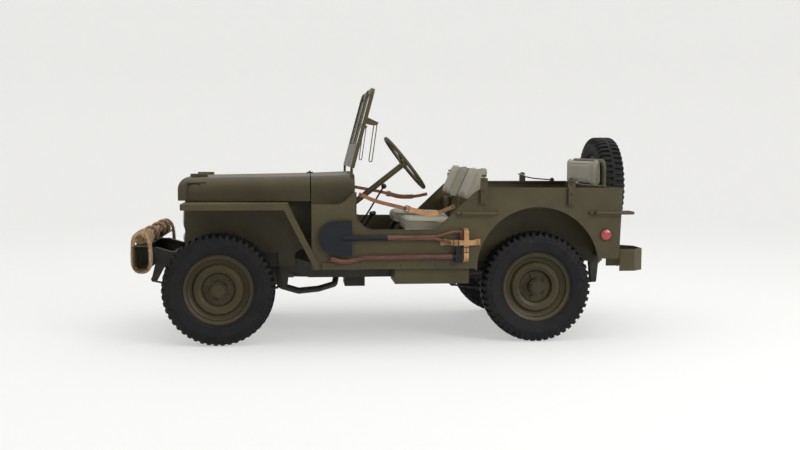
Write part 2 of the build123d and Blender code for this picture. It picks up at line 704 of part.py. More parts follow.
with BuildPart() as wheelhouses:
    with BuildSketch(side(INNER_HALF)) as shell:
        outline(
            [
                (HOUSE_FRONT, FLOOR_Z, 0),
                (HOUSE_FRONT, WHEELHOUSE_Z, 12),
                (rear_inside(WHEELHOUSE_Z), WHEELHOUSE_Z, 0),
                (rear_inside(QUARTER_Z), QUARTER_Z, 0),
                (HOUSE_REAR, QUARTER_Z, 0),
                (HOUSE_REAR, WHEELHOUSE_Z - SHEET, 0),
                (HOUSE_FRONT - SHEET, WHEELHOUSE_Z - SHEET, 8),
                (HOUSE_FRONT - SHEET, FLOOR_Z, 0),
            ]
        )
        with BuildLine() as hole:
            Polyline(
                (HOUSE_REAR - SHEET, QUARTER_Z + SHEET),
                (HOUSE_REAR - SHEET, WHEELHOUSE_Z - SHEET),
                (rear_inside(WHEELHOUSE_Z) + SHEET, WHEELHOUSE_Z - SHEET),
                (rear_inside(QUARTER_Z) + SHEET, QUARTER_Z + SHEET),
                close=True,
            )
        make_face(hole.edges(), mode=Mode.SUBTRACT)
    extrude(shell.sketch, amount=INNER_HALF - WHEELHOUSE_Y)
    with BuildSketch(side(WHEELHOUSE_Y)) as inner:
        outline(
            [
                (HOUSE_FRONT, FLOOR_Z, 0),
                (HOUSE_FRONT, WHEELHOUSE_Z, 12),
                (rear_inside(WHEELHOUSE_Z), WHEELHOUSE_Z, 0),
                (rear_inside(QUARTER_Z), QUARTER_Z, 0),
                (HOUSE_REAR, QUARTER_Z, 0),
                (HOUSE_FRONT - 140, QUARTER_Z, 0),
                (HOUSE_FRONT - 140, FLOOR_Z, 0),
            ]
        )
    extrude(inner.sketch, amount=SHEET)
    mirror(about=Plane.XZ)
finish(wheelhouses, "wheelhouses")

COLUMN_Y = 382
COLUMN = 38
COLUMN_FALL = 0.783  # drop per length forward
WHEEL_HUB = (REAR_AXLE + 829, COLUMN_Y, 1151)


def column_room():
    """Clears the steering column's way through a panel."""
    reach = 700
    tube(
        [WHEEL_HUB, (WHEEL_HUB[0] + reach, COLUMN_Y, WHEEL_HUB[2] - COLUMN_FALL * reach)],
        COLUMN + 16,
        0,
        mode=Mode.SUBTRACT,
    )


TUNNEL_HALF = 170
TUNNEL_TOP = 625
TOE_X = COWL_FRONT - 130
TUNNEL_REAR = COWL_FRONT - 560
WALL_Y = WHEELHOUSE_Y - SHEET
with BuildPart() as floor:
    with BuildSketch(side(WALL_Y)) as section:
        bent_sheet(
            [
                (rear_inside(REAR_FLOOR_Z) + 1, REAR_FLOOR_Z),
                (FLOOR_RISER, REAR_FLOOR_Z),
                (FLOOR_RISER, FLOOR_Z),
                (TOE_X, FLOOR_Z),
                (COWL_FRONT - SHEET, FLOOR_Z + 150),
                (COWL_FRONT - SHEET, FLOOR_Z + 170),
            ],
            -SHEET,
        )
    extrude(section.sketch, amount=2 * WALL_Y)
    for y in (INNER_HALF, -WALL_Y):
        with BuildSketch(side(y)) as section:
            bent_sheet(
                [
                    (HOUSE_FRONT + PANEL_GAP, FLOOR_Z),
                    (TOE_X, FLOOR_Z),
                    (COWL_FRONT - SHEET, FLOOR_Z + 150),
                    (COWL_FRONT - SHEET, FLOOR_Z + 170),
                ],
                -SHEET,
            )
        extrude(section.sketch, amount=INNER_HALF - WALL_Y)
    with BuildSketch(front(TUNNEL_REAR)) as tunnel:
        outline([(-TUNNEL_HALF, 400, 0), (-TUNNEL_HALF, TUNNEL_TOP, 60), (TUNNEL_HALF, TUNNEL_TOP, 60), (TUNNEL_HALF, 400, 0)])
    extrude(tunnel.sketch, amount=COWL_FRONT - SHEET - TUNNEL_REAR)
    with BuildSketch(front(TUNNEL_REAR - 1)) as bore:
        outline(
            [
                (SHEET - TUNNEL_HALF, 300, 0),
                (SHEET - TUNNEL_HALF, TUNNEL_TOP - SHEET, 56),
                (TUNNEL_HALF - SHEET, TUNNEL_TOP - SHEET, 56),
                (TUNNEL_HALF - SHEET, 300, 0),
            ]
        )
    extrude(bore.sketch, amount=COWL_FRONT - TUNNEL_REAR + 10, mode=Mode.SUBTRACT)
    with BuildSketch(front(TUNNEL_REAR)) as cap:
        outline([(-TUNNEL_HALF, FLOOR_Z, 0), (-TUNNEL_HALF, TUNNEL_TOP, 60), (TUNNEL_HALF, TUNNEL_TOP, 60), (TUNNEL_HALF, FLOOR_Z, 0)])
    extrude(cap.sketch, amount=SHEET)
    with BuildSketch(Plane.XY) as under:
        with Locations((0, 0)):
            Rectangle(4 * WHEELBASE, 2 * INNER_HALF)
    extrude(under.sketch, amount=FLOOR_Z - SHEET, mode=Mode.SUBTRACT)
    column_room()
finish(floor, "floor")

# ---------------------------------------------------------------- cowl, firewall, dash
SHOULDER = 95
CROWN = 12  # the top rises by this at the middle


def arch(half, base, top, shoulder):
    """Face of an arched section across the car, on its plane's y and z."""
    with BuildLine() as edge:
        FilletPolyline(
            (-half, base),
            (-half, top - CROWN),
            (0, top),
            (half, top - CROWN),
            (half, base),
            radius=[0, shoulder, 1200, shoulder, 0],
            close=True,
        )
    make_face(edge.edges())


def arched_block(stations, base, inset, mode):
    """Block lofted between arched sections: rows of x, half width, top."""
    faces = []
    for x, half, top in stations:
        with BuildSketch(front(x)) as face:
            arch(half - inset, base - (1 if inset else 0), top - inset, SHOULDER - inset)
        faces.append(face.sketch.face())
    loft(faces, mode=mode)


def arched_skin(stations, base, sheet):
    """Open-ended skin lofted between arched sections."""
    arched_block(stations, base, 0, Mode.ADD)
    arched_block(stations, base, sheet, Mode.SUBTRACT)


COWL_STATIONS = [
    (DASH_BACK + SHEET, COWL_REAR_HALF, COWL_TOP),
    (COWL_FRONT, HOOD_REAR_HALF, HOOD_REAR_TOP),
]


SHIELD_LEAN = 15
SHIELD_HINGE = (DASH_BACK + 18, COWL_TOP + 22)
SHIELD_HALF = 575
SHIELD_HEIGHT = 540
SHIELD_DEPTH = 24
PANEL_HEIGHT = 170
POST = 34
SHIELD = Plane(
    origin=(SHIELD_HINGE[0], 0, SHIELD_HINGE[1]),
    x_dir=(0, 1, 0),
    z_dir=(cos(radians(SHIELD_LEAN)), 0, sin(radians(SHIELD_LEAN))),
)


HINGE_YS = (55 - SHIELD_HALF, SHIELD_HALF - 55)
HOOD_HINGE = (COWL_FRONT + SEAM / 2, HOOD_REAR_TOP + 8)
BARREL = 12
HINGE_PIN = 5
KNUCKLE = (45, 60)  # the cowl's knuckles lie between these distances from the middle
LEAF_LENGTH = 22
with BuildPart() as cowl:
    arched_block(COWL_STATIONS, LEDGE_Z - 4, 0, Mode.ADD)
    for y in HINGE_YS:
        for lug_y in (y + 22, y - 16):
            with BuildSketch(side(lug_y)) as lug:
                outline(
                    [
                        (SHIELD_HINGE[0] - 7, COWL_TOP - 60, 0),
                        (SHIELD_HINGE[0] + 8, COWL_TOP - 60, 0),
                        (SHIELD_HINGE[0] + 8, SHIELD_HINGE[1] + 9, 7),
                        (SHIELD_HINGE[0] - 8, SHIELD_HINGE[1] + 9, 7),
                    ]
                )
            extrude(lug.sketch, amount=6)
        tube([(SHIELD_HINGE[0], y - 20, SHIELD_HINGE[1]), (SHIELD_HINGE[0], y + 20, SHIELD_HINGE[1])], 10, 0)
    arched_block(COWL_STATIONS, LEDGE_Z - 4, SHEET, Mode.SUBTRACT)
    hinge_x, hinge_z = HOOD_HINGE
    for near, far in (KNUCKLE, (-KNUCKLE[1], -KNUCKLE[0])):
        tube([(hinge_x, near, hinge_z), (hinge_x, far, hinge_z)], BARREL, 0)
        box((hinge_x - LEAF_LENGTH, hinge_x - 1), (near, far), (HOOD_REAR_TOP - SHEET, hinge_z - 3))
    tube([(hinge_x, -KNUCKLE[1], hinge_z), (hinge_x, KNUCKLE[1], hinge_z)], HINGE_PIN, 0)
    for end in (1, -1):
        with BuildSketch(side(end * INNER_HALF)) as ledge:
            with BuildLine() as edge:
                FilletPolyline(
                    (COWL_FRONT, LEDGE_Z - 4),
                    (COWL_FRONT, LEDGE_Z),
                    (LEDGE_BEND, LEDGE_Z),
                    (DASH_BACK + SHEET, LEDGE_TOP - 12),
                    (DASH_BACK + SHEET, LEDGE_TOP - 18),
                    (LEDGE_BEND - 2, LEDGE_Z - 4),
                    radius=[0, 0, 86, 0, 0, 90],
                    close=True,
                )
            make_face(edge.edges())
        extrude(ledge.sketch, amount=end * (INNER_HALF - HOOD_REAR_HALF + 1))
finish(cowl, "cowl")

with BuildPart() as firewall:
    with BuildSketch(front(COWL_FRONT - SHEET)) as wall:
        outline(
            [
                (-INNER_HALF, FLOOR_Z + 171, 0),
                (INNER_HALF, FLOOR_Z + 171, 0),
                (INNER_HALF, LEDGE_Z - 5, 0),
                (-INNER_HALF, LEDGE_Z - 5, 0),
            ]
        )
        arch(HOOD_REAR_HALF - SHEET - 2, LEDGE_Z - 6, HOOD_REAR_TOP - SHEET - 2, SHOULDER - SHEET - 2)
    extrude(wall.sketch, amount=SHEET)
    column_room()
finish(firewall, "firewall")

DASH_DEPTH = 135
GAUGES = [(30, 48), (-110, 30), (-180, 30), (150, 30), (220, 30)]  # y, radius
with BuildPart() as dash:
    with BuildSketch(front(DASH_BACK)) as face:
        arch(COWL_REAR_HALF, COWL_TOP - DASH_DEPTH, COWL_TOP, SHOULDER)
    extrude(face.sketch, amount=SHEET)
    for y, radius in GAUGES:
        with BuildSketch(front(DASH_BACK)) as gauge:
            with Locations((y, COWL_TOP - 72)):
                Circle(radius)
        extrude(gauge.sketch, amount=-6)
finish(dash, "dash")

# ---------------------------------------------------------------- hood
HOOD_BASE = FENDER_TOP + SEAM
HOOD_REAR = COWL_FRONT + SEAM
NOSE_DROP = 80
NOSE_LIP = 6  # degrees short of upright at the front edge
BLOCK = (110, 60, 18)
HOOD_STATIONS = [
    (HOOD_REAR, HOOD_REAR_HALF - 1, HOOD_REAR_TOP),
    (HOOD_NOSE, HOOD_FRONT_HALF, HOOD_FRONT_TOP),
]


def nose_corner(radius):
    """Face over the hood's rounded nose, of this radius about the nose's own centre."""
    with BuildLine() as edge:
        middle = (HOOD_NOSE - NOSE_DROP, HOOD_FRONT_TOP - NOSE_DROP)
        round_nose = CenterArc(middle, radius, NOSE_LIP, 90 - NOSE_LIP)
        Polyline(
            round_nose @ 1,
            (HOOD_NOSE - NOSE_DROP, HOOD_FRONT_TOP + 10),
            (HOOD_NOSE + 10, HOOD_FRONT_TOP + 10),
            (HOOD_NOSE + 10, (round_nose @ 0).Y),
            round_nose @ 0,
        )
    make_face(edge.edges())


with BuildPart() as hood_inside:
    arched_block(HOOD_STATIONS, HOOD_BASE, SHEET, Mode.ADD)
    with BuildSketch(side(600)) as nose:
        nose_corner(NOSE_DROP - SHEET)
    extrude(nose.sketch, amount=1200, mode=Mode.SUBTRACT)

with BuildPart() as hood:
    arched_block(HOOD_STATIONS, HOOD_BASE, 0, Mode.ADD)
    with BuildSketch(side(600)) as nose:
        nose_corner(NOSE_DROP)
    extrude(nose.sketch, amount=1200, mode=Mode.SUBTRACT)
    add(hood_inside.part, mode=Mode.SUBTRACT)
    for y in (-250, 250):
        with Locations((HOOD_NOSE - 125, y, HOOD_FRONT_TOP - 3)):
            Box(*BLOCK, align=(Align.CENTER, Align.CENTER, Align.MIN))
    reach = KNUCKLE[0] - PIN_PLAY
    tube([(hinge_x, -reach, hinge_z), (hinge_x, reach, hinge_z)], BARREL, 0)
    box((hinge_x + 1, hinge_x + LEAF_LENGTH), (-reach, reach), (HOOD_REAR_TOP - SHEET, hinge_z - 3))
    tube([(hinge_x, -KNUCKLE[1], hinge_z), (hinge_x, KNUCKLE[1], hinge_z)], HINGE_PIN + 2 * PIN_PLAY, 0, Mode.SUBTRACT)
finish(hood, "hood")

# ---------------------------------------------------------------- windshield
def on_shield(height):
    """Plane in the windshield's own slope, this far forward of its middle."""
    return SHIELD.offset(height)


with BuildPart() as windshield_frame:
    with BuildSketch(on_shield(-SHIELD_DEPTH / 2)) as ring:
        outline(
            [
                (-SHIELD_HALF, 12, 0),
                (SHIELD_HALF, 12, 0),
                (SHIELD_HALF, SHIELD_HEIGHT, 60),
                (-SHIELD_HALF, SHIELD_HEIGHT, 60),
            ]
        )
        for middle in (-1, 1):
            outline_half = (SHIELD_HALF - POST - POST / 2) / 2
            with Locations((middle * (outline_half + POST / 2), (PANEL_HEIGHT + SHIELD_HEIGHT - POST) / 2)):
                RectangleRounded(2 * outline_half, SHIELD_HEIGHT - POST - PANEL_HEIGHT, 26, mode=Mode.SUBTRACT)
    extrude(ring.sketch, amount=SHIELD_DEPTH)
    with BuildSketch(on_shield(-SHIELD_DEPTH / 2 - 1)) as pocket:
        with Locations((0, (PANEL_HEIGHT + 30) / 2)):
            Rectangle(2 * (SHIELD_HALF - POST), PANEL_HEIGHT - 46)
    extrude(pocket.sketch, amount=SHIELD_DEPTH - SHEET, mode=Mode.SUBTRACT)
    for y in HINGE_YS:
        with BuildSketch(Plane(origin=(SHIELD_HINGE[0], y - 12, SHIELD_HINGE[1]), x_dir=(1, 0, 0), z_dir=(0, -1, 0))) as ear:
            Circle(9)
            with Locations((0, 12)):
                Rectangle(14, 24)
        extrude(ear.sketch, amount=-24)
        with BuildSketch(side(y + 12)) as bore:
            with Locations(SHIELD_HINGE):
                Circle(5 + PIN_PLAY)
        extrude(bore.sketch, amount=24, mode=Mode.SUBTRACT)
finish(windshield_frame, "windshield_frame")

PANE = (SHIELD_HALF - POST - POST / 2, SHIELD_HEIGHT - POST - PANEL_HEIGHT)
with BuildPart() as windshield_glass:
    with BuildSketch(on_shield(-3)) as panes:
        for middle in (-1, 1):
            with Locations((middle * (PANE[0] / 2 + POST / 2), (PANEL_HEIGHT + SHIELD_HEIGHT - POST) / 2)):
                RectangleRounded(PANE[0] - 0.6, PANE[1] - 0.6, 25.7)
    extrude(panes.sketch, amount=6)
finish(windshield_glass, "windshield_glass")

ARM_BRACKET = [(-103, 334), (-172, 302), (-163, 284), (-130, 284), (-92, 292)]
ARM_MIDDLE = (-135, 170)
ARM_LENGTH = 246
ARM_LEAN = 98
WIPERS = [(240, 90), (-240, 90)]  # y of the pivot, blade's lean outward
with BuildPart() as windshield_fittings:
    for y, lean in WIPERS:
        with BuildSketch(on_shield(SHIELD_DEPTH / 2)) as blade:
            with Locations((y, SHIELD_HEIGHT - POST / 2)):
                Circle(12)
            with Locations((y + (60 if y > 0 else -60), SHIELD_HEIGHT - POST / 2 - 120)):
                Rectangle(10, 250, rotation=26 if y > 0 else -26)
        extrude(blade.sketch, amount=9)
    for end in (-1, 1):
        arm_y = end * (SHIELD_HALF - POST / 2)
        with BuildSketch(side(arm_y + 3)) as bracket:
            outline([(SHIELD_HINGE[0] + dx, SHIELD_HINGE[1] + dz, 0) for dx, dz in ARM_BRACKET])
        extrude(bracket.sketch, amount=6)
        with BuildSketch(side(arm_y - 3)) as arm:
            with Locations((SHIELD_HINGE[0] + ARM_MIDDLE[0], SHIELD_HINGE[1] + ARM_MIDDLE[1])):
                SlotOverall(ARM_LENGTH, 26, rotation=ARM_LEAN)
                SlotOverall(ARM_LENGTH - 12, 14, rotation=ARM_LEAN, mode=Mode.SUBTRACT)
        extrude(arm.sketch, amount=5)
finish(windshield_fittings, "windshield_fittings")

# ---------------------------------------------------------------- steering
WHEEL_DIAMETER = 430
WHEEL_RIM = 24
WHEEL_TILT = degrees(atan2(1, COLUMN_FALL))
COLUMN_AXIS = Vector(-1, 0, COLUMN_FALL).normalized()
COLUMN_TOP = Vector(*WHEEL_HUB) - COLUMN_AXIS * 30
BOX_X = (FRONT_AXLE - 480, FRONT_AXLE - 370)
with BuildPart() as steering_column:
    foot_x = BOX_X[0] + 20
    foot = Vector(foot_x, COLUMN_Y, WHEEL_HUB[2] - COLUMN_FALL * (foot_x - WHEEL_HUB[0]))
    tube([tuple(foot), tuple(COLUMN_TOP)], COLUMN, 0)
    box(BOX_X, (RAIL_OUTER, APRON_Y - 6), (RAIL_FRONT_Z + 6, foot.Z + 10))
finish(steering_column, "steering_column")

with BuildPart() as steering_wheel:
    Torus(WHEEL_DIAMETER / 2 - WHEEL_RIM / 2, WHEEL_RIM / 2)
    with Locations((0, 0, -14)):
        Cylinder(30, 26)
    with Locations((0, 0, 2)):
        Cylinder(18, 14)
    for turn in (90, 210, 330):
        spoke_end = WHEEL_DIAMETER / 2 - WHEEL_RIM / 2
        tube(
            [
                (0, 0, -14),
                (spoke_end * cos(radians(turn)), spoke_end * sin(radians(turn)), 0),
            ],
            14,
            0,
        )
steering_wheel.part = Plane(origin=WHEEL_HUB, x_dir=(0, 1, 0), z_dir=tuple(COLUMN_AXIS)) * steering_wheel.part
finish(steering_wheel, "steering_wheel")

# rows: foot x, y, knob x, y, z, knob diameter
LEVERS = [
    (DASH_BACK - 20, -10, DASH_BACK - 230, 30, 985, 36),
    (DASH_BACK - 60, -60, DASH_BACK - 150, -60, 790, 30),
    (DASH_BACK - 60, -100, DASH_BACK - 170, -100, 790, 30),
]
LEVER_ROD = 14
with BuildPart() as levers:
    for foot_x, foot_y, knob_x, knob_y, knob_z, knob in LEVERS:
        tube([(foot_x, foot_y, TUNNEL_TOP + LEVER_ROD / 2), (knob_x, knob_y, knob_z)], LEVER_ROD, 0)
        with Locations((foot_x, foot_y, TUNNEL_TOP)):
            Cylinder(LEVER_ROD, LEVER_ROD, align=(Align.CENTER, Align.CENTER, Align.MIN))
        with Locations((knob_x, knob_y, knob_z)):
            Cylinder(knob / 2, knob)
finish(levers, "levers")

# ---------------------------------------------------------------- fuel tank
with BuildPart() as fuel_tank:
    box((SEAT_FRONT - 370, SEAT_FRONT - 60), (236, 554), (FLOOR_Z, FLOOR_Z + 180))
    box((SEAT_FRONT - 420, SEAT_FRONT + 55), (RAIL_OUTER + 20, 700), (388, FLOOR_Z - SHEET))
finish(fuel_tank, "fuel_tank")

# ---------------------------------------------------------------- seats
SEAT_HALF = 215
CUSHION = 80
CUSHION_Z = 715
BACK_LEAN = 23
BACK_FOOT = (SEAT_FRONT - 470, 892)
BACK_HEIGHT = 240
BACK_DEPTH = 68


PIVOT_PIN = 12
PIVOT = (SEAT_FRONT - 30, FLOOR_Z + 28)  # x and z of the seats' front feet
REAR_LEG = SEAT_FRONT - 380
FOOT_GAP = 6
RAIL_TOP = CUSHION_Z - 0.3


def seat_frame(middle, foot_gap):
    """Bent tube seat: legs, seat rails and the hoop behind the back."""
    toward = 1 if middle > 0 else -1
    near, far = (middle - toward * (SEAT_HALF - TUBE), middle + toward * (SEAT_HALF - TUBE))
    rail_z = RAIL_TOP - TUBE / 2
    back_x = BACK_FOOT[0] - TUBE / 2 / cos(radians(BACK_LEAN)) - 0.5
    rise = BACK_HEIGHT - 40
    for y in (near, far):
        tube([(PIVOT[0], y, PIVOT[1] + 4), (PIVOT[0], y, rail_z), (SEAT_FRONT - 410, y, rail_z)], TUBE, 60)
        tube([(REAR_LEG, y, FLOOR_Z + foot_gap), (REAR_LEG, y, rail_z)], TUBE, 0)
        with Locations((PIVOT[0], y, PIVOT[1])):
            Cylinder(15, 22, rotation=(90, 0, 0))
            Cylinder(PIVOT_PIN / 2 + PIN_PLAY, 30, rotation=(90, 0, 0), mode=Mode.SUBTRACT)
    hoop = [
        (SEAT_FRONT - 400, rail_z),
        (SEAT_FRONT - 462, rail_z),
        (back_x, BACK_FOOT[1]),
        (back_x - rise * tan(radians(BACK_LEAN)), BACK_FOOT[1] + rise),
    ]
    side_y = toward * (WHEELHOUSE_Y - 26)
    tube([(x, near, z) for x, z in hoop] + [(x, side_y, z) for x, z in reversed(hoop)], TUBE, 30)
    tube([(SEAT_FRONT - 396, near, rail_z), (SEAT_FRONT - 396, far, rail_z)], TUBE, 0)
    tube([(SEAT_FRONT - 120, near, rail_z), (SEAT_FRONT - 120, far, rail_z)], TUBE, 0)


def seat_cushions(middle):
    """Seat pad and the leaning back pad."""
    with BuildSketch(side(middle + SEAT_HALF)) as pads:
        outline(
            [
                (SEAT_FRONT, CUSHION_Z, 20),
                (SEAT_FRONT, CUSHION_Z + CUSHION, 30),
                (SEAT_FRONT - 430, CUSHION_Z + CUSHION - 20, 30),
                (SEAT_FRONT - 430, CUSHION_Z, 20),
            ]
        )
    extrude(pads.sketch, amount=2 * SEAT_HALF)
    shift = BACK_HEIGHT * tan(radians(BACK_LEAN))
    with BuildSketch(side(middle + SEAT_HALF)) as pads:
        outline(
            [
                (BACK_FOOT[0], BACK_FOOT[1], 24),
                (BACK_FOOT[0] + BACK_DEPTH, BACK_FOOT[1], 24),
                (BACK_FOOT[0] + BACK_DEPTH - shift, BACK_FOOT[1] + BACK_HEIGHT, 24),
                (BACK_FOOT[0] - shift, BACK_FOOT[1] + BACK_HEIGHT, 24),
            ]
        )
    extrude(pads.sketch, amount=2 * SEAT_HALF)


with BuildPart() as driver_seat_frame:
    seat_frame(SEAT_Y, PANEL_GAP)
finish(driver_seat_frame, "driver_seat_frame")
with BuildPart() as driver_cushions:
    seat_cushions(SEAT_Y)
finish(driver_cushions, "driver_cushions")
with BuildPart() as passenger_seat_frame:
    seat_frame(-SEAT_Y, FOOT_GAP)
finish(passenger_seat_frame, "passenger_seat_frame")
with BuildPart() as passenger_cushions:
    seat_cushions(-SEAT_Y)
finish(passenger_cushions, "passenger_cushions")

with BuildPart() as seat_pivots:
    for middle in (SEAT_Y, -SEAT_Y):
        for y in (middle - SEAT_HALF + TUBE, middle + SEAT_HALF - TUBE):
            box((PIVOT[0] - 22, PIVOT[0] + 22), (y - 22, y + 22), (FLOOR_Z, FLOOR_Z + 5))
            for lug_y in (y + 19.5, y - 15.5):
                with BuildSketch(side(lug_y)) as lug:
                    outline(
                        [
                            (PIVOT[0] - 18, FLOOR_Z + 4, 0),
                            (PIVOT[0] + 18, FLOOR_Z + 4, 0),
                            (PIVOT[0] + 10, PIVOT[1] + 10, 8),
                            (PIVOT[0] - 10, PIVOT[1] + 10, 8),
                        ]
                    )
                extrude(lug.sketch, amount=4)
            tube([(PIVOT[0], y - 17, PIVOT[1]), (PIVOT[0], y + 17, PIVOT[1])], PIVOT_PIN, 0)
finish(seat_pivots, "seat_pivots")

REAR_SEAT_HALF = 365
REAR_BACK_X = REAR_AXLE - 455  # front face of the rear seat's back pad
REAR_BACK_DEPTH = 48
REAR_BACK_Z = (985, 1184)
REAR_SEAT_Z = (800, 885)
REAR_SEAT_DEPTH = 380
with BuildPart() as rear_back_cushion:
    with BuildSketch(side(REAR_SEAT_HALF)) as pad:
        outline(
            [
                (REAR_BACK_X, REAR_BACK_Z[0], 20),
                (REAR_BACK_X, REAR_BACK_Z[1], 22),
                (REAR_BACK_X - REAR_BACK_DEPTH, REAR_BACK_Z[1], 22),
                (REAR_BACK_X - REAR_BACK_DEPTH, REAR_BACK_Z[0], 20),
            ]
        )
    extrude(pad.sketch, amount=2 * REAR_SEAT_HALF)
finish(rear_back_cushion, "rear_back_cushion")

HOOP_X = REAR_BACK_X - REAR_BACK_DEPTH - TUBE / 2 - 0.3
HOOP_Y = REAR_SEAT_HALF + TUBE
REAR_PIVOT_Z = 955
with BuildPart() as rear_back_frame:
    tube(
        [
            (HOOP_X, HOOP_Y, REAR_PIVOT_Z),
            (HOOP_X, HOOP_Y, REAR_BACK_Z[1] - 20),
            (HOOP_X, -HOOP_Y, REAR_BACK_Z[1] - 20),
            (HOOP_X, -HOOP_Y, REAR_PIVOT_Z),
        ],
        TUBE,
        50,
    )
    for y in (-HOOP_Y, HOOP_Y):
        with Locations((HOOP_X, y, REAR_PIVOT_Z)):
            Cylinder(TUBE / 2 + 1, TUBE + 4, rotation=(90, 0, 0))
            Cylinder(PIVOT_PIN / 2 + PIN_PLAY, 2 * TUBE, rotation=(90, 0, 0), mode=Mode.SUBTRACT)
finish(rear_back_frame, "rear_back_frame")

with BuildPart() as rear_cushion:
    with BuildSketch(side(REAR_SEAT_HALF)) as pad:
        outline(
            [
                (REAR_BACK_X + 20, REAR_SEAT_Z[0], 24),
                (REAR_BACK_X + 20, REAR_SEAT_Z[1] - 10, 24),
                (REAR_BACK_X + REAR_SEAT_DEPTH, REAR_SEAT_Z[1], 30),
                (REAR_BACK_X + REAR_SEAT_DEPTH, REAR_SEAT_Z[0], 24),
            ]
        )
    extrude(pad.sketch, amount=2 * REAR_SEAT_HALF)
finish(rear_cushion, "rear_cushion")

with BuildPart() as rear_seat_frame:
    rail_z = REAR_SEAT_Z[0] - TUBE / 2 - 0.3
    rail_y = REAR_SEAT_HALF - TUBE
    fore = REAR_BACK_X + REAR_SEAT_DEPTH - 30
    tube(
        [(REAR_BACK_X, rail_y, rail_z), (fore, rail_y, rail_z), (fore, -rail_y, rail_z), (REAR_BACK_X, -rail_y, rail_z)],
        TUBE,
        50,
    )
    for y in (-rail_y, rail_y):
        tube([(fore - 50, y, rail_z), (fore - 50, y, REAR_FLOOR_Z + PANEL_GAP)], TUBE, 0)
        tube([(REAR_BACK_X + 10, y, rail_z), (REAR_BACK_X + 10, y, REAR_FLOOR_Z + PANEL_GAP)], TUBE, 0)
    for end in (-1, 1):
        box((HOOP_X - 7, HOOP_X + 30), sorted((end * WHEELHOUSE_Y, end * (WHEELHOUSE_Y - 6))), (WHEELHOUSE_Z, REAR_PIVOT_Z + 14))
        tube([(HOOP_X, end * WHEELHOUSE_Y, REAR_PIVOT_Z), (HOOP_X, end * (HOOP_Y - TUBE / 2), REAR_PIVOT_Z)], PIVOT_PIN, 0)
finish(rear_seat_frame, "rear_seat_frame")

# ---------------------------------------------------------------- tools, straps and small fittings on the tub
SHAFT_LEVEL = 687
GRIP_REACH = 228  # from the end of the sill's flat to the shovel's grip
GRIP_HALF = 38
TOOL_Y = TUB_HALF + 26
with BuildPart() as shovel:
    blade_tail = DASH_BACK + 27
    with BuildSketch(side(TOOL_Y + 6)) as blade:
        with BuildLine() as edge:
            back = Line((blade_tail, SHAFT_LEVEL + 112), (blade_tail, SHAFT_LEVEL - 112))
            low = Line(back @ 1, (blade_tail + 90, SHAFT_LEVEL - 108))
            nose = ThreePointArc(low @ 1, (blade_tail + 208, SHAFT_LEVEL), (blade_tail + 90, SHAFT_LEVEL + 108))
            Line(nose @ 1, back @ 0)
        make_face(edge.edges())
    extrude(blade.sketch, amount=6)
    tube([(blade_tail + 60, TOOL_Y, SHAFT_LEVEL), (DOOR_FLAT_END - 60, TOOL_Y, SHAFT_LEVEL)], 32, 0)
    grip_x = DOOR_FLAT_END - GRIP_REACH
    for end in (-1, 1):
        arm_z = SHAFT_LEVEL + end * GRIP_HALF
        arm = [(DOOR_FLAT_END - 40, TOOL_Y, SHAFT_LEVEL), (grip_x + 50, TOOL_Y, arm_z), (grip_x, TOOL_Y, arm_z)]
        tube(arm, 18, 20)
    tube(
        [(grip_x, TOOL_Y, SHAFT_LEVEL - GRIP_HALF - 10), (grip_x, TOOL_Y, SHAFT_LEVEL + GRIP_HALF + 10)], 26, 0
    )
finish(shovel, "shovel")

AXE_LEVEL = 562
with BuildPart() as axe:
    tube([(DASH_BACK + 159, TOOL_Y, AXE_LEVEL - 6), (DASH_BACK + 70, TOOL_Y, AXE_LEVEL - 26), (DASH_BACK - 60, TOOL_Y, AXE_LEVEL + 2), (DASH_BACK - 660, TOOL_Y, AXE_LEVEL + 6)], 30, 60)
    with BuildSketch(side(TOOL_Y + 14)) as head:
        outline(
            [
                (DASH_BACK - 622, AXE_LEVEL + 70, 4),
                (DASH_BACK - 668, AXE_LEVEL + 70, 4),
                (DASH_BACK - 660, AXE_LEVEL, 0),
                (DASH_BACK - 672, AXE_LEVEL - 34, 4),
                (DASH_BACK - 618, AXE_LEVEL - 34, 4),
                (DASH_BACK - 630, AXE_LEVEL, 0),
            ]
        )
    extrude(head.sketch, amount=28)
finish(axe, "axe")

HANDLE = 20
HANDLE_Y = TUB_HALF + 40
HANDLE_Z = 839
HANDLES = [(REAR_AXLE + 494, REAR_AXLE + 290)]
CORNER_HANDLE = (REAR_AXLE - 366, TUB_REAR - 58, TUB_HALF - 60)  # front end, reach and inner end
with BuildPart() as side_fittings:
    for end in (1, -1):
        for fore, aft in HANDLES:
            foot = end * (TUB_HALF + HANDLE / 2)
            tube(
                [
                    (fore + 40, foot, HANDLE_Z),
                    (fore + 12, foot, HANDLE_Z),
                    (fore, end * HANDLE_Y, HANDLE_Z),
                    (aft, end * HANDLE_Y, HANDLE_Z),
                    (aft - 12, foot, HANDLE_Z),
                    (aft - 26, foot, HANDLE_Z),
                ],
                HANDLE,
                6,
            )
        fore, aft, inner = CORNER_HANDLE
        rear_x = TUB_REAR + REAR_LEAN * (TUB_TOP - HANDLE_Z) / (TUB_TOP - QUARTER_Z)
        tube(
            [
                (fore + 40, foot, HANDLE_Z),
                (fore + 12, foot, HANDLE_Z),
                (fore, end * HANDLE_Y, HANDLE_Z),
                (aft, end * HANDLE_Y, HANDLE_Z),
                (aft, end * inner, HANDLE_Z),
                (rear_x - 1, end * inner, HANDLE_Z),
            ],
            HANDLE,
            6,
        )
        for x, z0, z1 in ((REAR_AXLE + 361, 898, 1062), (REAR_AXLE - 205, 885, 1040)):
            box((x - 22, x + 22), sorted((end * TUB_HALF, end * (TUB_HALF + 22))), (z0, z1))
            with Locations((x, end * (TUB_HALF + 11), z1)):
                Cylinder(7, 60, mode=Mode.SUBTRACT)
finish(side_fittings, "side_fittings")

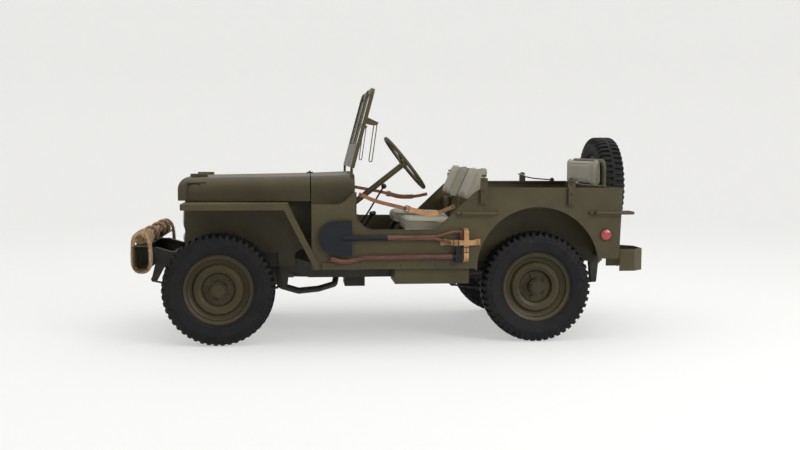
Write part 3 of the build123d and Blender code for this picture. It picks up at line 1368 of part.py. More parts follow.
STRAP = 3
with BuildPart() as straps:
    for end in (1, -1):
        with BuildSketch(side(end * (INNER_HALF - 2))) as sling:
            bent_sheet(
                [
                    (DASH_BACK - 3, 955),
                    (DASH_BACK - 102, 905),
                    (DASH_BACK - 280, 860),
                    (DASH_BACK - 470, 822),
                    (DASH_BACK - 540, 835),
                    (DASH_BACK - 640, 880),
                ],
                30,
            )
        extrude(sling.sketch, amount=end * STRAP)
finish(straps, "straps")

with BuildPart() as spare_carrier:
    disc_x = SPARE_X - DISC_Z + PANEL_GAP
    box((TUB_REAR - 12, TUB_REAR - 4), (SPARE_Y - 110, SPARE_Y + 110), (760, 940))
    tube([(TUB_REAR - 8, SPARE_Y, SPARE_Z - 50), (disc_x + 20, SPARE_Y, SPARE_Z - 50)], 70, 0)
    tube([(disc_x + 24, SPARE_Y, SPARE_Z), (disc_x, SPARE_Y, SPARE_Z)], 190, 0)
finish(spare_carrier, "spare_carrier")
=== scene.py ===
"""Open army 4x4 car in a plain pale studio: materials, tyres, soft goods, ropes and trim over the CAD frame."""

import math

import bmesh
import bpy
import numpy as np
from mathutils import Matrix, Vector


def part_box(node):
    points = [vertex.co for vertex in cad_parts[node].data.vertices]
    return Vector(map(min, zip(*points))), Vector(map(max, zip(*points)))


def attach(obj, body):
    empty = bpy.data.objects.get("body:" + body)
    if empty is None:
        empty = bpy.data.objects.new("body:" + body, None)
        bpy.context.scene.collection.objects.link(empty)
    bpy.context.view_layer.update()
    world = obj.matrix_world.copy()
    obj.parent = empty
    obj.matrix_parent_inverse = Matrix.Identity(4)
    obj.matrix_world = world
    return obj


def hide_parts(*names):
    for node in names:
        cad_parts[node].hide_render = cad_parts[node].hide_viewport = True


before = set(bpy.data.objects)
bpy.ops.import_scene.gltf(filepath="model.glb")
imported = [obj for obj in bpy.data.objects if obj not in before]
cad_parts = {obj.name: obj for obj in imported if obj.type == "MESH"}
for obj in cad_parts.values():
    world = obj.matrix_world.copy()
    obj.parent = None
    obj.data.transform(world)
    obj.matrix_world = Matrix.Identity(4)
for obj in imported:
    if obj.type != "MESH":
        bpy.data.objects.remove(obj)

bl_info = {
    "name": "Army 4x4 car",
    "version": (1, 0, 0),
    "blender": (4, 5, 0),
    "location": "View3D > Sidebar > Army car",
    "description": "Dresses the CAD frame of an open army car",
    "category": "Object",
}

FRONT_AXLE = 1.116
REAR_AXLE = -0.916
TRACK = 1.226
AXLE_Z = 0.356
TYRE_RADIUS = 0.356
TYRE_WIDTH = 0.160
RIM_RADIUS = 0.222
TUB_HALF = 0.730
WHEELS = {
    "front_left": (Vector((FRONT_AXLE, TRACK / 2, AXLE_Z)), Vector((0, 1, 0))),
    "front_right": (Vector((FRONT_AXLE, -TRACK / 2, AXLE_Z)), Vector((0, -1, 0))),
    "rear_left": (Vector((REAR_AXLE, TRACK / 2, AXLE_Z)), Vector((0, 1, 0))),
    "rear_right": (Vector((REAR_AXLE, -TRACK / 2, AXLE_Z)), Vector((0, -1, 0))),
    "spare": (Vector((-1.580, -0.190, 0.974)), Vector((-1, 0, 0))),
}


# ---------------------------------------------------------------- shading
class Socket:
    """A shader value that takes part in sums."""

    def __init__(self, shader, output):
        self.shader = shader
        self.output = output

    def _with(self, operation, *others):
        inputs = {0: self}
        inputs.update({index + 1: other for index, other in enumerate(others)})
        return self.shader.node("ShaderNodeMath", {"operation": operation}, inputs).out(0)

    def __add__(self, other):
        return self._with("ADD", other)

    def __mul__(self, other):
        return self._with("MULTIPLY", other)

    def __rsub__(self, other):
        return self * -1.0 + other

    __radd__ = __add__
    __rmul__ = __mul__

    def most(self, other):
        return self._with("MAXIMUM", other)

    def sine(self):
        return self._with("SINE")

    def ramp(self, low, high):
        """0 below low, 1 above high and smooth between."""
        inputs = {"Value": self, "From Min": low, "From Max": high}
        return self.shader.node("ShaderNodeMapRange", {"interpolation_type": "SMOOTHSTEP"}, inputs).out("Result")


class Node:
    """A shader node whose outputs are handed out as sockets."""

    def __init__(self, shader, node):
        self.shader = shader
        self.node = node

    def out(self, name):
        return Socket(self.shader, self.node.outputs[name])


class Shader:
    """One material with a Principled surface."""

    def __init__(self, name, **uniform):
        self.material = bpy.data.materials.new(name)
        self.material.use_nodes = True
        self.tree = self.material.node_tree
        self.surface = self.tree.nodes["Principled BSDF"]
        for socket, value in uniform.items():
            self.surface.inputs[socket.replace("_", " ")].default_value = value

    def node(self, kind, settings=None, inputs=None):
        """Adds a node with these settings and inputs."""
        node = self.tree.nodes.new(kind)
        for key, value in (settings or {}).items():
            setattr(node, key, value)
        for key, value in (inputs or {}).items():
            self.feed(node.inputs[key], value)
        return Node(self, node)

    def feed(self, target, value):
        if isinstance(value, Socket):
            self.tree.links.new(value.output, target)
        else:
            target.default_value = value

    def place(self):
        """The piece's own coordinates, in metres."""
        return self.node("ShaderNodeTexCoord").out("Object")

    def axes(self):
        split = self.node("ShaderNodeSeparateXYZ", None, {0: self.place()})
        return split.out("X"), split.out("Y"), split.out("Z")

    def noise(self, scale, detail=4.0, roughness=0.55, at=None):
        inputs = {"Vector": at or self.place(), "Scale": scale, "Detail": detail, "Roughness": roughness}
        return self.node("ShaderNodeTexNoise", None, inputs).out("Fac")

    def cells(self, scale):
        inputs = {"Vector": self.place(), "Scale": scale}
        return self.node("ShaderNodeTexVoronoi", None, inputs).out("Distance")

    def stretched(self, scale):
        """Coordinates scaled by this much along each axis."""
        return self.node("ShaderNodeMapping", None, {"Vector": self.place(), "Scale": scale}).out("Vector")

    def upward(self):
        """1 on faces that look up."""
        normal = self.node("ShaderNodeNewGeometry").out("Normal")
        return self.node("ShaderNodeSeparateXYZ", None, {0: normal}).out("Z").most(0.0)

    def blend(self, factor, first, second):
        """Colour mixed by a factor; either colour may be a socket."""
        node = self.node("ShaderNodeMix", {"data_type": "RGBA"})
        self.feed(node.node.inputs["Factor"], factor)
        for socket, colour in (("A", first), ("B", second)):
            target = [entry for entry in node.node.inputs if entry.name == socket and entry.type == "RGBA"][0]
            self.feed(target, colour if isinstance(colour, Socket) else (*colour, 1.0))
        output = [entry for entry in node.node.outputs if entry.type == "RGBA"][0]
        return Socket(self, output)

    def colour(self, value):
        self.feed(self.surface.inputs["Base Color"], value)

    def rough(self, value):
        self.feed(self.surface.inputs["Roughness"], value)

    def bump(self, height, depth):
        """Raises the surface by the height times the depth, in metres."""
        node = self.node("ShaderNodeBump", None, {"Height": height, "Distance": depth, "Strength": 1.0})
        self.feed(self.surface.inputs["Normal"], node.out("Normal"))


def paint(name, colour, dust, roughness=0.52, dirt_top=0.35):
    """Satin army paint: mottled, dusty on top and splashed low down, with fine chips."""
    shader = Shader(name, Specular_IOR_Level=0.28)
    patches = shader.noise(3.1, 5.0)
    grain = shader.noise(90.0, 3.0)
    chips = shader.noise(34.0, 9.0, 0.72).ramp(0.70, 0.735)
    height = shader.axes()[2]
    splash = (dirt_top - height) * 3.2 + patches * 0.5
    settled = shader.upward() * shader.noise(7.0, 6.0) * 0.55
    darker = tuple(channel * 0.80 for channel in colour)
    lighter = tuple(min(1.0, channel * 1.16) for channel in colour)
    base = shader.blend(patches.ramp(0.32, 0.70), darker, lighter)
    base = shader.blend(splash.ramp(0.15, 0.95) * 0.40, base, dust)
    base = shader.blend(settled.ramp(0.08, 0.5) * 0.30, base, dust)
    base = shader.blend(chips * 0.35, base, tuple(channel * 0.42 for channel in colour))
    shader.colour(base)
    shader.rough(patches * 0.16 + grain * 0.08 + (roughness - 0.12))
    shader.bump(grain * 0.6 + shader.noise(420.0, 2.0) * 0.4, 0.00022)
    return shader.material


def canvas(name, colour):
    """Cotton duck: two crossed threads with slubs, fading and soil; where the threads dip the colour is painted
    darker, as painted shade between them.
    """
    shader = Shader(name, Specular_IOR_Level=0.2, Sheen_Weight=0.25, Sheen_Roughness=0.5)
    across, along, up = shader.axes()
    pitch = 2 * math.pi / 0.0021
    warp = (along * pitch).sine()
    weft = ((across + up * 0.9) * pitch).sine()
    weave_and_painted_shade = (warp * weft) * 0.5 + 0.5
    slub = shader.noise(1.0, 3.0, 0.5, shader.stretched((18.0, 260.0, 18.0)))
    soil = shader.noise(6.5, 6.0, 0.6)
    darker = tuple(channel * 0.66 for channel in colour)
    # painted shade: the thread crossing term darkens the low parts between the threads; the slub term is the threads'
    # own tone
    base = shader.blend(weave_and_painted_shade * 0.5 + slub * 0.5, darker, colour)
    base = shader.blend(soil.ramp(0.45, 0.78) * 0.45, base, tuple(channel * 0.55 for channel in colour))
    shader.colour(base)
    shader.rough(soil * 0.12 + 0.82)
    shader.bump(weave_and_painted_shade * 0.6 + slub * 0.6 + shader.noise(22.0, 4.0) * 0.8, 0.0006)
    return shader.material


def leather(name, colour):
    """Worn strap leather with grain, creases and darker edges of use."""
    shader = Shader(name, Specular_IOR_Level=0.4)
    use = shader.noise(9.0, 6.0, 0.62)
    grain = shader.cells(900.0)
    crease = shader.noise(1.0, 4.0, 0.6, shader.stretched((60.0, 20.0, 60.0)))
    base = shader.blend(use.ramp(0.34, 0.68), tuple(channel * 0.55 for channel in colour), colour)
    base = shader.blend(crease.ramp(0.6, 0.75) * 0.4, base, tuple(channel * 0.35 for channel in colour))
    shader.colour(base)
    shader.rough(use * 0.25 + 0.42)
    shader.bump(grain * 0.5 + crease * 0.7, 0.0005)
    return shader.material


def rubber(name):
    """Tyre rubber: dark, slightly dusty in the hollows, with fine moulding marks."""
    shader = Shader(name, Specular_IOR_Level=0.22)
    dusty = shader.noise(14.0, 6.0, 0.65)
    fine = shader.noise(260.0, 3.0)
    base = shader.blend(dusty.ramp(0.4, 0.75), (0.0045, 0.0047, 0.0055), (0.012, 0.0117, 0.011))
    shader.colour(base)
    shader.rough(dusty * 0.22 + 0.55)
    shader.bump(fine * 0.6 + dusty * 0.3, 0.0004)
    return shader.material


def dark_metal(name, colour, roughness=0.6):
    """Cast or rolled metal under old paint and oil."""
    shader = Shader(name, Specular_IOR_Level=0.45)
    grime = shader.noise(8.0, 7.0, 0.65)
    rust = shader.noise(16.0, 8.0, 0.7).ramp(0.60, 0.72)
    sand = shader.noise(300.0, 2.0)
    base = shader.blend(grime.ramp(0.35, 0.7), tuple(channel * 0.55 for channel in colour), colour)
    base = shader.blend(rust * 0.5, base, (0.085, 0.045, 0.025))
    shader.colour(base)
    shader.rough(grime * 0.25 + (roughness - 0.12))
    shader.bump(sand * 0.5 + grime * 0.5, 0.0006)
    return shader.material


def hafted(name, joint, steel_ahead):
    """Tool of wood and blued steel, which meet where the piece's x passes the joint."""
    shader = Shader(name, Specular_IOR_Level=0.35)
    ahead = shader.axes()[0].ramp(joint - 0.0005, joint + 0.0005)
    steel = ahead if steel_ahead else 1 - ahead
    grain = shader.noise(1.0, 6.0, 0.6, shader.stretched((7.0, 160.0, 160.0)))
    worn = shader.noise(11.0, 5.0)
    timber = shader.blend(grain.ramp(0.35, 0.68), (0.060, 0.022, 0.016), (0.150, 0.060, 0.040))
    timber = shader.blend(worn.ramp(0.6, 0.72) * 0.5, timber, (0.045, 0.020, 0.014))
    streak = shader.noise(1.0, 5.0, 0.6, shader.stretched((9.0, 60.0, 60.0)))
    wear = shader.noise(14.0, 8.0, 0.72).ramp(0.60, 0.74)
    blade = shader.blend(streak, (0.004, 0.0048, 0.0075), (0.013, 0.015, 0.021))
    blade = shader.blend(wear * 0.3, blade, (0.06, 0.065, 0.075))
    shader.colour(shader.blend(steel, timber, blade))
    shader.rough(grain * 0.2 + 0.42)
    shader.feed(shader.surface.inputs["Metallic"], steel * 0.35)
    shader.bump(grain, 0.0004)
    return shader.material


def rope_fibre(name):
    """Natural fibre rope, mottled between pale and dark brown with soiled patches; the low fibres are also painted
    darker, as painted shade in the hollows.
    """
    shader = Shader(name, Specular_IOR_Level=0.15, Sheen_Weight=0.3, Sheen_Roughness=0.6)
    fibre = shader.noise(1.0, 4.0, 0.6, shader.stretched((520.0, 520.0, 520.0)))
    soil = shader.noise(18.0, 5.0)
    mottle = shader.noise(75.0, 3.0)
    # painted shade: the fine fibre term darkens the low fibres; the mottle is random tone of the rope
    base = shader.blend(fibre * 0.4 + mottle.ramp(0.36, 0.64) * 0.6, (0.12, 0.062, 0.030), (0.56, 0.37, 0.20))
    base = shader.blend(soil.ramp(0.5, 0.75) * 0.5, base, (0.20, 0.12, 0.065))
    shader.colour(base)
    shader.rough(fibre * 0.1 + 0.82)
    shader.bump(fibre, 0.0012)
    return shader.material


def clear_glass(name):
    """Flat safety glass with a faint film of dust."""
    shader = Shader(name, Specular_IOR_Level=0.5, Roughness=0.06)
    film = shader.noise(5.0, 5.0)
    shader.colour(shader.blend(film, (0.80, 0.84, 0.82), (0.70, 0.76, 0.74)))
    shader.feed(shader.surface.inputs["Alpha"], film * 0.08 + 0.10)
    return shader.material


def lens_glass(name, colour, ribs):
    """Pressed lamp lens: fine vertical ribs, painted darker in their grooves and lighter on their ridges as painted
    shade and painted highlight.
    """
    shader = Shader(name, Specular_IOR_Level=0.7, Coat_Weight=0.6, Coat_Roughness=0.08)
    across, along = shader.axes()[:2]
    flute_and_painted_shading = ((along + across * 0.7) * (2 * math.pi / ribs)).sine() * 0.5 + 0.5
    dirt = shader.noise(40.0, 4.0)
    # painted shade and painted highlight: the ribs darken the colour in their grooves and lighten it on their ridges;
    # the dirt noise is random tone
    shader.colour(shader.blend(flute_and_painted_shading * 0.5 + dirt * 0.3, tuple(channel * 0.6 for channel in colour), colour))
    shader.rough(dirt * 0.15 + 0.12)
    shader.bump(flute_and_painted_shading, 0.0008)
    return shader.material


def studio(name, value):
    """Matt pale studio surface with hardly visible scuffs."""
    shader = Shader(name, Specular_IOR_Level=0.1)
    scuff = shader.noise(0.9, 4.0)
    low = tuple(channel * 0.985 for channel in value)
    path = shader.node("ShaderNodeLightPath")
    seen = path.out("Is Camera Ray").most(path.out("Is Glossy Ray")).most(path.out("Is Transmission Ray"))
    lit = shader.blend(scuff, low, value)
    shader.colour(shader.blend(seen, lit, tuple(channel * 0.55 for channel in value)))
    shader.feed(shader.surface.inputs["Emission Color"], shader.blend(seen, (0.0, 0.0, 0.0), (0.44, 0.44, 0.43)))
    shader.surface.inputs["Emission Strength"].default_value = 1.0
    shader.rough(scuff * 0.1 + 0.75)
    return shader.material


# ---------------------------------------------------------------- mesh helpers
def new_object(name, build, material, smooth=40):
    """Object from a function that fills a bmesh."""
    work = bmesh.new()
    build(work)
    bmesh.ops.recalc_face_normals(work, faces=work.faces)
    mesh = bpy.data.meshes.new(name)
    work.to_mesh(mesh)
    work.free()
    piece = bpy.data.objects.new(name, mesh)
    bpy.context.collection.objects.link(piece)
    mesh.materials.append(material)
    soften(mesh, smooth)
    return piece


def soften(mesh, angle):
    """Smooth shading except across edges sharper than the angle."""
    work = bmesh.new()
    work.from_mesh(mesh)
    for face in work.faces:
        face.smooth = True
    for edge in work.edges:
        if len(edge.link_faces) == 2:
            edge.smooth = edge.calc_face_angle(0.0) < math.radians(angle)
    work.to_mesh(mesh)
    work.free()


def skin(work, rings):
    """Faces between rings of as many corners each."""
    for ring, following in zip(rings, rings[1:]):
        for step in range(len(ring)):
            after = (step + 1) % len(ring)
            work.faces.new((ring[step], ring[after], following[after], following[step]))


def close(work, rings):
    """Flat faces over the first and last rings."""
    work.faces.new(rings[0])
    work.faces.new(list(reversed(rings[-1])))


def circle(work, centre, first, second, radius, segments):
    """Ring of corners in the plane of two directions."""
    turns = [2 * math.pi * step / segments for step in range(segments)]
    return [work.verts.new(centre + (first * math.cos(turn) + second * math.sin(turn)) * radius) for turn in turns]


def lathe(work, profile, segments, place=Matrix()):
    """Revolves rows of (radius, height) about Z; returns the rings."""
    rings = []
    for radius, height in profile:
        ring = []
        for step in range(segments):
            turn = 2 * math.pi * step / segments
            spot = Vector((radius * math.cos(turn), radius * math.sin(turn), height))
            ring.append(work.verts.new(place @ spot))
        rings.append(ring)
    skin(work, rings)
    return rings


def capped(work, profile, segments, place=Matrix()):
    """A closed turned solid: the ends get flat caps."""
    close(work, lathe(work, profile, segments, place))


def facing(centre, outward):
    """Matrix with its Z along the outward direction."""
    turn = Vector((0, 0, 1)).rotation_difference(outward).to_matrix().to_4x4()
    return Matrix.Translation(centre) @ turn


def bolt(work, centre, outward, radius, height, rounded=False):
    """Hexagon bolt head with a washer, or a domed rivet."""
    place = facing(centre, outward)
    if rounded:
        dome = [(radius * math.cos(step), height * math.sin(step)) for step in (0, 0.4, 0.8, 1.2, 1.5)]
        capped(work, dome, 12, place)
        return
    capped(work, [(radius * 1.45, 0), (radius * 1.45, height * 0.18)], 20, place)
    head = [(radius, height * 0.18), (radius, height * 0.86), (radius * 0.84, height)]
    capped(work, head, 6, place)


def ribbon(work, line, width, thickness, across):
    """Flat strap along points, its width along the across direction, rounded edges."""
    half = width / 2
    edge = half * 0.94
    outline = [(-half, 0), (-edge, thickness / 2), (edge, thickness / 2)]
    outline += [(half, 0), (edge, -thickness / 2), (-edge, -thickness / 2)]
    rings = []
    for index, point in enumerate(line):
        before = line[max(0, index - 1)]
        after = line[min(len(line) - 1, index + 1)]
        along = (after - before).normalized()
        wide = across - along * across.dot(along)
        wide.normalize()
        up = along.cross(wide)
        rings.append([work.verts.new(point + wide * w + up * t) for w, t in outline])
    skin(work, rings)
    close(work, rings)


def by_number(entry):
    return entry.index


def section(faces, spot, normal):
    """Closed lines where a plane cuts these faces."""
    cut = bmesh.new()
    twins = {}
    for face in sorted(faces, key=by_number):
        for vertex in face.verts:
            if vertex.index not in twins:
                twins[vertex.index] = cut.verts.new(vertex.co)
        cut.faces.new([twins[vertex.index] for vertex in face.verts])
    parts = cut.verts[:] + cut.edges[:] + cut.faces[:]
    bmesh.ops.bisect_plane(
        cut, geom=parts, dist=1e-6, plane_co=spot, plane_no=normal, clear_outer=True, clear_inner=True
    )
    left = set(cut.verts)
    loops = []
    while left:
        here = min(left, key=lambda vertex: tuple(vertex.co))
        line = []
        while here is not None:
            left.discard(here)
            line.append(here.co.copy())
            ahead = [edge.other_vert(here) for edge in here.link_edges if edge.other_vert(here) in left]
            here = min(ahead, key=lambda vertex: tuple(vertex.co)) if ahead else None
        if len(line) > 20:
            loops.append(resample(line + line[:2], 130))
    cut.free()
    return loops


def smooth_line(points, count):
    """Evenly spread points on a smooth curve through the control points."""
    curve = bpy.data.curves.new("guide", "CURVE")
    curve.dimensions = "3D"
    curve.resolution_u = 24
    spline = curve.splines.new("NURBS")
    spline.points.add(len(points) - 1)
    for entry, point in zip(spline.points, points):
        entry.co = (*point, 1.0)
    spline.order_u = 3
    spline.use_endpoint_u = True
    holder = bpy.data.objects.new("guide", curve)
    bpy.context.collection.objects.link(holder)
    mesh = bpy.data.meshes.new_from_object(holder)
    spots = [vertex.co.copy() for vertex in mesh.vertices]
    bpy.data.objects.remove(holder)
    bpy.data.curves.remove(curve)
    bpy.data.meshes.remove(mesh)
    return resample(spots, count)


def resample(spots, count):
    """Points spread evenly by length along a chain of points."""
    lengths = [0.0]
    for first, second in zip(spots, spots[1:]):
        lengths.append(lengths[-1] + (second - first).length)
    result = []
    index = 0
    for step in range(count):
        wanted = lengths[-1] * step / (count - 1)
        while index < len(spots) - 2 and lengths[index + 1] < wanted:
            index += 1
        run = max(1e-9, lengths[index + 1] - lengths[index])
        share = min(1.0, max(0.0, (wanted - lengths[index]) / run))
        result.append(spots[index].lerp(spots[index + 1], share))
    return result


def strand_rope(work, line, diameter, turns_per_metre=22, strands=3):
    """Laid rope: strands wound round a line of points."""
    radius = diameter * 0.27
    offset = diameter * 0.24
    total = 0.0
    frames = []
    normal = Vector((0.31, 0.87, 0.38))
    for index, point in enumerate(line):
        before, after = line[max(0, index - 1)], line[min(len(line) - 1, index + 1)]
        along = (after - before).normalized()
        normal = (normal - along * normal.dot(along)).normalized()
        if index:
            total += (point - line[index - 1]).length
        frames.append((point, normal.copy(), along.cross(normal), total))
    for strand in range(strands):
        rings = []
        for point, first, second, length in frames:
            turn = 2 * math.pi * (length * turns_per_metre + strand / strands)
            middle = point + (first * math.cos(turn) + second * math.sin(turn)) * offset
            rings.append(circle(work, middle, first, second, radius, 8))
        skin(work, rings)
        close(work, rings)


def rod(work, points, diameter, segments=14):
    """Round rod along straight runs."""
    frames = []
    for index, point in enumerate(points):
        before = points[max(0, index - 1)]
        after = points[min(len(points) - 1, index + 1)]
        along = (after - before).normalized()
        first = along.orthogonal().normalized()
        if frames:
            first = frames[-1][1] - along * frames[-1][1].dot(along)
            first.normalize()
        frames.append((point, first, along.cross(first)))
    rings = [circle(work, point, first, second, diameter / 2, segments) for point, first, second in frames]
    skin(work, rings)
    close(work, rings)


def settle(piece, body, slot_name, *nodes):
    """Rides the piece on its body and hides the nodes it stands for; slot_name is not used."""
    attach(piece, body)
    if nodes:
        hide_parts(*nodes)


def dress(names, material):
    """Gives CAD nodes a material."""
    for name in names:
        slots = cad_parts[name].data.materials
        slots.clear()
        slots.append(material)


LIBRARY = {}


def library():
    """All materials, made once."""
    if not LIBRARY:
        dust = (0.135, 0.115, 0.072)
        LIBRARY["body"] = paint("olive_paint", (0.056, 0.046, 0.020), dust, 0.44)
        LIBRARY["wheel"] = paint("wheel_paint", (0.034, 0.026, 0.009), (0.070, 0.058, 0.032), 0.46)
        LIBRARY["under"] = dark_metal("chassis_metal", (0.040, 0.036, 0.026))
        LIBRARY["iron"] = dark_metal("engine_metal", (0.030, 0.029, 0.027), 0.5)
        LIBRARY["tyre"] = rubber("tyre_rubber")
        LIBRARY["canvas"] = canvas("seat_canvas", (0.35, 0.325, 0.25))
        LIBRARY["leather"] = leather("strap_leather", (0.25, 0.115, 0.045))
        LIBRARY["web"] = leather("buckskin", (0.46, 0.25, 0.10))
        LIBRARY["shovel"] = hafted("shovel_wood_and_steel", 0.058, True)
        LIBRARY["axe"] = hafted("axe_wood_and_steel", -0.352, False)
        LIBRARY["knob"] = dark_metal("black_enamel", (0.012, 0.012, 0.012), 0.35)
        LIBRARY["rope"] = rope_fibre("rope_fibre")
        LIBRARY["glass"] = clear_glass("shield_glass")
        LIBRARY["lens"] = lens_glass("lamp_lens", (0.55, 0.58, 0.56), 0.012)
        LIBRARY["red"] = lens_glass("red_lens", (0.40, 0.004, 0.012), 0.006)
    return LIBRARY


def fit(name, build, finish, smooth, body, slot_name, *nodes):
    """Builds a piece with a finish from the library and settles it."""
    settle(new_object(name, build, library()[finish], smooth), body, slot_name, *nodes)


# ---------------------------------------------------------------- settings
class CarSettings(bpy.types.PropertyGroup):
    """Sizes of the dressed pieces."""

    lugs: bpy.props.IntProperty(name="Tread bars", description="Bars round one shoulder of a tyre", default=50)
    lug_depth: bpy.props.FloatProperty(
        name="Tread depth", description="Depth of the grooves", default=0.013, unit="LENGTH"
    )
    lug_length: bpy.props.FloatProperty(
        name="Bar length", description="Length of a tread bar round the tyre", default=0.025, unit="LENGTH"
    )
    swell: bpy.props.FloatProperty(
        name="Cushion swell", description="Most that a cushion swells", default=0.014, unit="LENGTH"
    )
    voxel: bpy.props.FloatProperty(
        name="Cushion voxel", description="Remesh size of the cushions", default=0.008, unit="LENGTH"
    )


class StageSettings(bpy.types.PropertyGroup):
    """The pale studio and its lamps."""

    floor: bpy.props.FloatProperty(name="Floor", description="Floor brightness", default=0.80)
    radius: bpy.props.FloatProperty(name="Radius", description="Radius of the cove", default=14.0, unit="LENGTH")
    world: bpy.props.FloatProperty(name="World", description="Even light from all round", default=0.95)
    top: bpy.props.FloatProperty(name="Top lamp", description="Power of the overhead lamp", default=110.0)


# ---------------------------------------------------------------- pieces
class CAR_OT_nodes(bpy.types.Operator):
    """Gives the carried-over CAD pieces their materials"""

    bl_idname = "car.nodes"
    bl_label = "Dress the frame"

    def execute(self, context):
        made = library()
        under = ("frame_rails", "frame_crossmembers", "front_axle", "rear_axle", "knuckle_left", "knuckle_right")
        groups = {
            "under": under + ("tie_rod", "leaf_springs", "drive_shafts", "gearbox", "exhaust"),
            "iron": ("engine_block", "radiator"),
            "glass": ("windshield_glass",),
            "wheel": tuple(f"wheel_{name}" for name in WHEELS),
            "shovel": ("shovel",),
            "axe": ("axe",),
        }
        used = {name for names in groups.values() for name in names}
        for slot_name, names in groups.items():
            dress(names, made[slot_name])
        dress([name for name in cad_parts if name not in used], made["body"])
        return {"FINISHED"}


class CAR_OT_tyres(bpy.types.Operator):
    """Builds the bar-tread tyres"""

    bl_idname = "car.tyres"
    bl_label = "Build the tyres"

    def execute(self, context):
        sizes = context.scene.car_sizes
        carcass = TYRE_RADIUS - sizes.lug_depth - 0.002
        half = TYRE_WIDTH / 2
        profile = [
            (RIM_RADIUS - 0.016, half * 0.64),
            (RIM_RADIUS - 0.004, half * 0.70),
            (RIM_RADIUS + 0.004, half * 0.765),
            (RIM_RADIUS + 0.014, half * 0.80),
            (RIM_RADIUS + 0.017, half * 0.84),
            (RIM_RADIUS + 0.021, half * 0.865),
            (RIM_RADIUS + 0.024, half * 0.865),
            (RIM_RADIUS + 0.040, half * 0.94),
            (RIM_RADIUS + 0.055, half * 0.985),
            (RIM_RADIUS + 0.068, half * 0.995),
            (RIM_RADIUS + 0.070, half * 1.005),
            (RIM_RADIUS + 0.074, half * 1.005),
            (RIM_RADIUS + 0.076, half * 0.99),
            (RIM_RADIUS + 0.090, half * 0.975),
            (carcass - 0.012, half * 0.93),
            (carcass - 0.004, half * 0.80),
            (carcass, half * 0.60),
            (carcass + 0.001, half * 0.30),
            (carcass + 0.001, 0.0),
        ]
        profile += [(radius, -height) for radius, height in reversed(profile[:-1])]

        def lug(work, place, turn, side):
            """One bar from the shoulder to past the middle."""
            rows = [
                (-0.010, TYRE_RADIUS - 0.0005, 0.50, 0.0),
                (0.020, TYRE_RADIUS - 0.0005, 0.50, 0.0),
                (0.052, TYRE_RADIUS - 0.0010, 0.50, 0.10),
                (0.064, TYRE_RADIUS - 0.0050, 0.48, 0.14),
                (half * 0.955, TYRE_RADIUS - 0.0170, 0.44, 0.16),
                (half * 1.005, TYRE_RADIUS - 0.0340, 0.38, 0.16),
                (half * 0.985, TYRE_RADIUS - 0.0520, 0.32, 0.16),
            ]
            tops, feet = [], []
            for index, (across, radius, wide, skew) in enumerate(rows):
                middle = turn + skew * sizes.lug_length / TYRE_RADIUS
                spread = wide * sizes.lug_length / TYRE_RADIUS
                inner = radius - 0.016 if index < 4 else radius - 0.004
                across_in = across if index < 4 else across * (0.93 - 0.01 * (index - 4))
                row_top, row_foot = [], []
                for share, drop in ((-1, 0.0028), (-0.86, 0.0), (0.86, 0.0), (1, 0.0028)):
                    angle = middle + spread * share
                    reach = radius - drop
                    spot = Vector((reach * math.cos(angle), reach * math.sin(angle), side * across))
                    row_top.append(work.verts.new(place @ spot))
                for share in (-1.08, 1.08):
                    angle = middle + spread * share
                    spot = Vector((inner * math.cos(angle), inner * math.sin(angle), side * across_in))
                    row_foot.append(work.verts.new(place @ spot))
                tops.append(row_top)
                feet.append(row_foot)
            for index in range(len(rows) - 1):
                here, there = tops[index], tops[index + 1]
                for column in range(3):
                    work.faces.new((here[column], here[column + 1], there[column + 1], there[column]))
                work.faces.new((feet[index][0], here[0], there[0], feet[index + 1][0]))
                work.faces.new((here[3], feet[index][1], feet[index + 1][1], there[3]))
                work.faces.new((feet[index][1], feet[index][0], feet[index + 1][0], feet[index + 1][1]))
            for index in (0, -1):
                work.faces.new((feet[index][0], *tops[index], feet[index][1]))

        for name, (centre, outward) in WHEELS.items():
            place = facing(centre, outward)

            def build(work, place=place):
                lathe(work, profile, 192, place)
                for count in range(sizes.lugs):
                    for side, shift in ((1, 0.0), (-1, 0.5)):
                        lug(work, place, 2 * math.pi * (count + shift) / sizes.lugs, side)

            piece = new_object(f"tread_{name}", build, library()["tyre"], 34)
            body = "chassis" if name == "spare" else f"wheel_{name}"
            settle(piece, body, "tyre", f"tyre_{name}")
        return {"FINISHED"}


WELT = 0.0085
WELT_SHARE = 0.66  # how far from the middle to the face the piping lies
CUSHIONS = {
    "driver_cushions": "chassis",
    "passenger_cushions": "passenger_seat",
    "rear_back_cushion": "rear_back",
    "rear_cushion": "chassis",
}


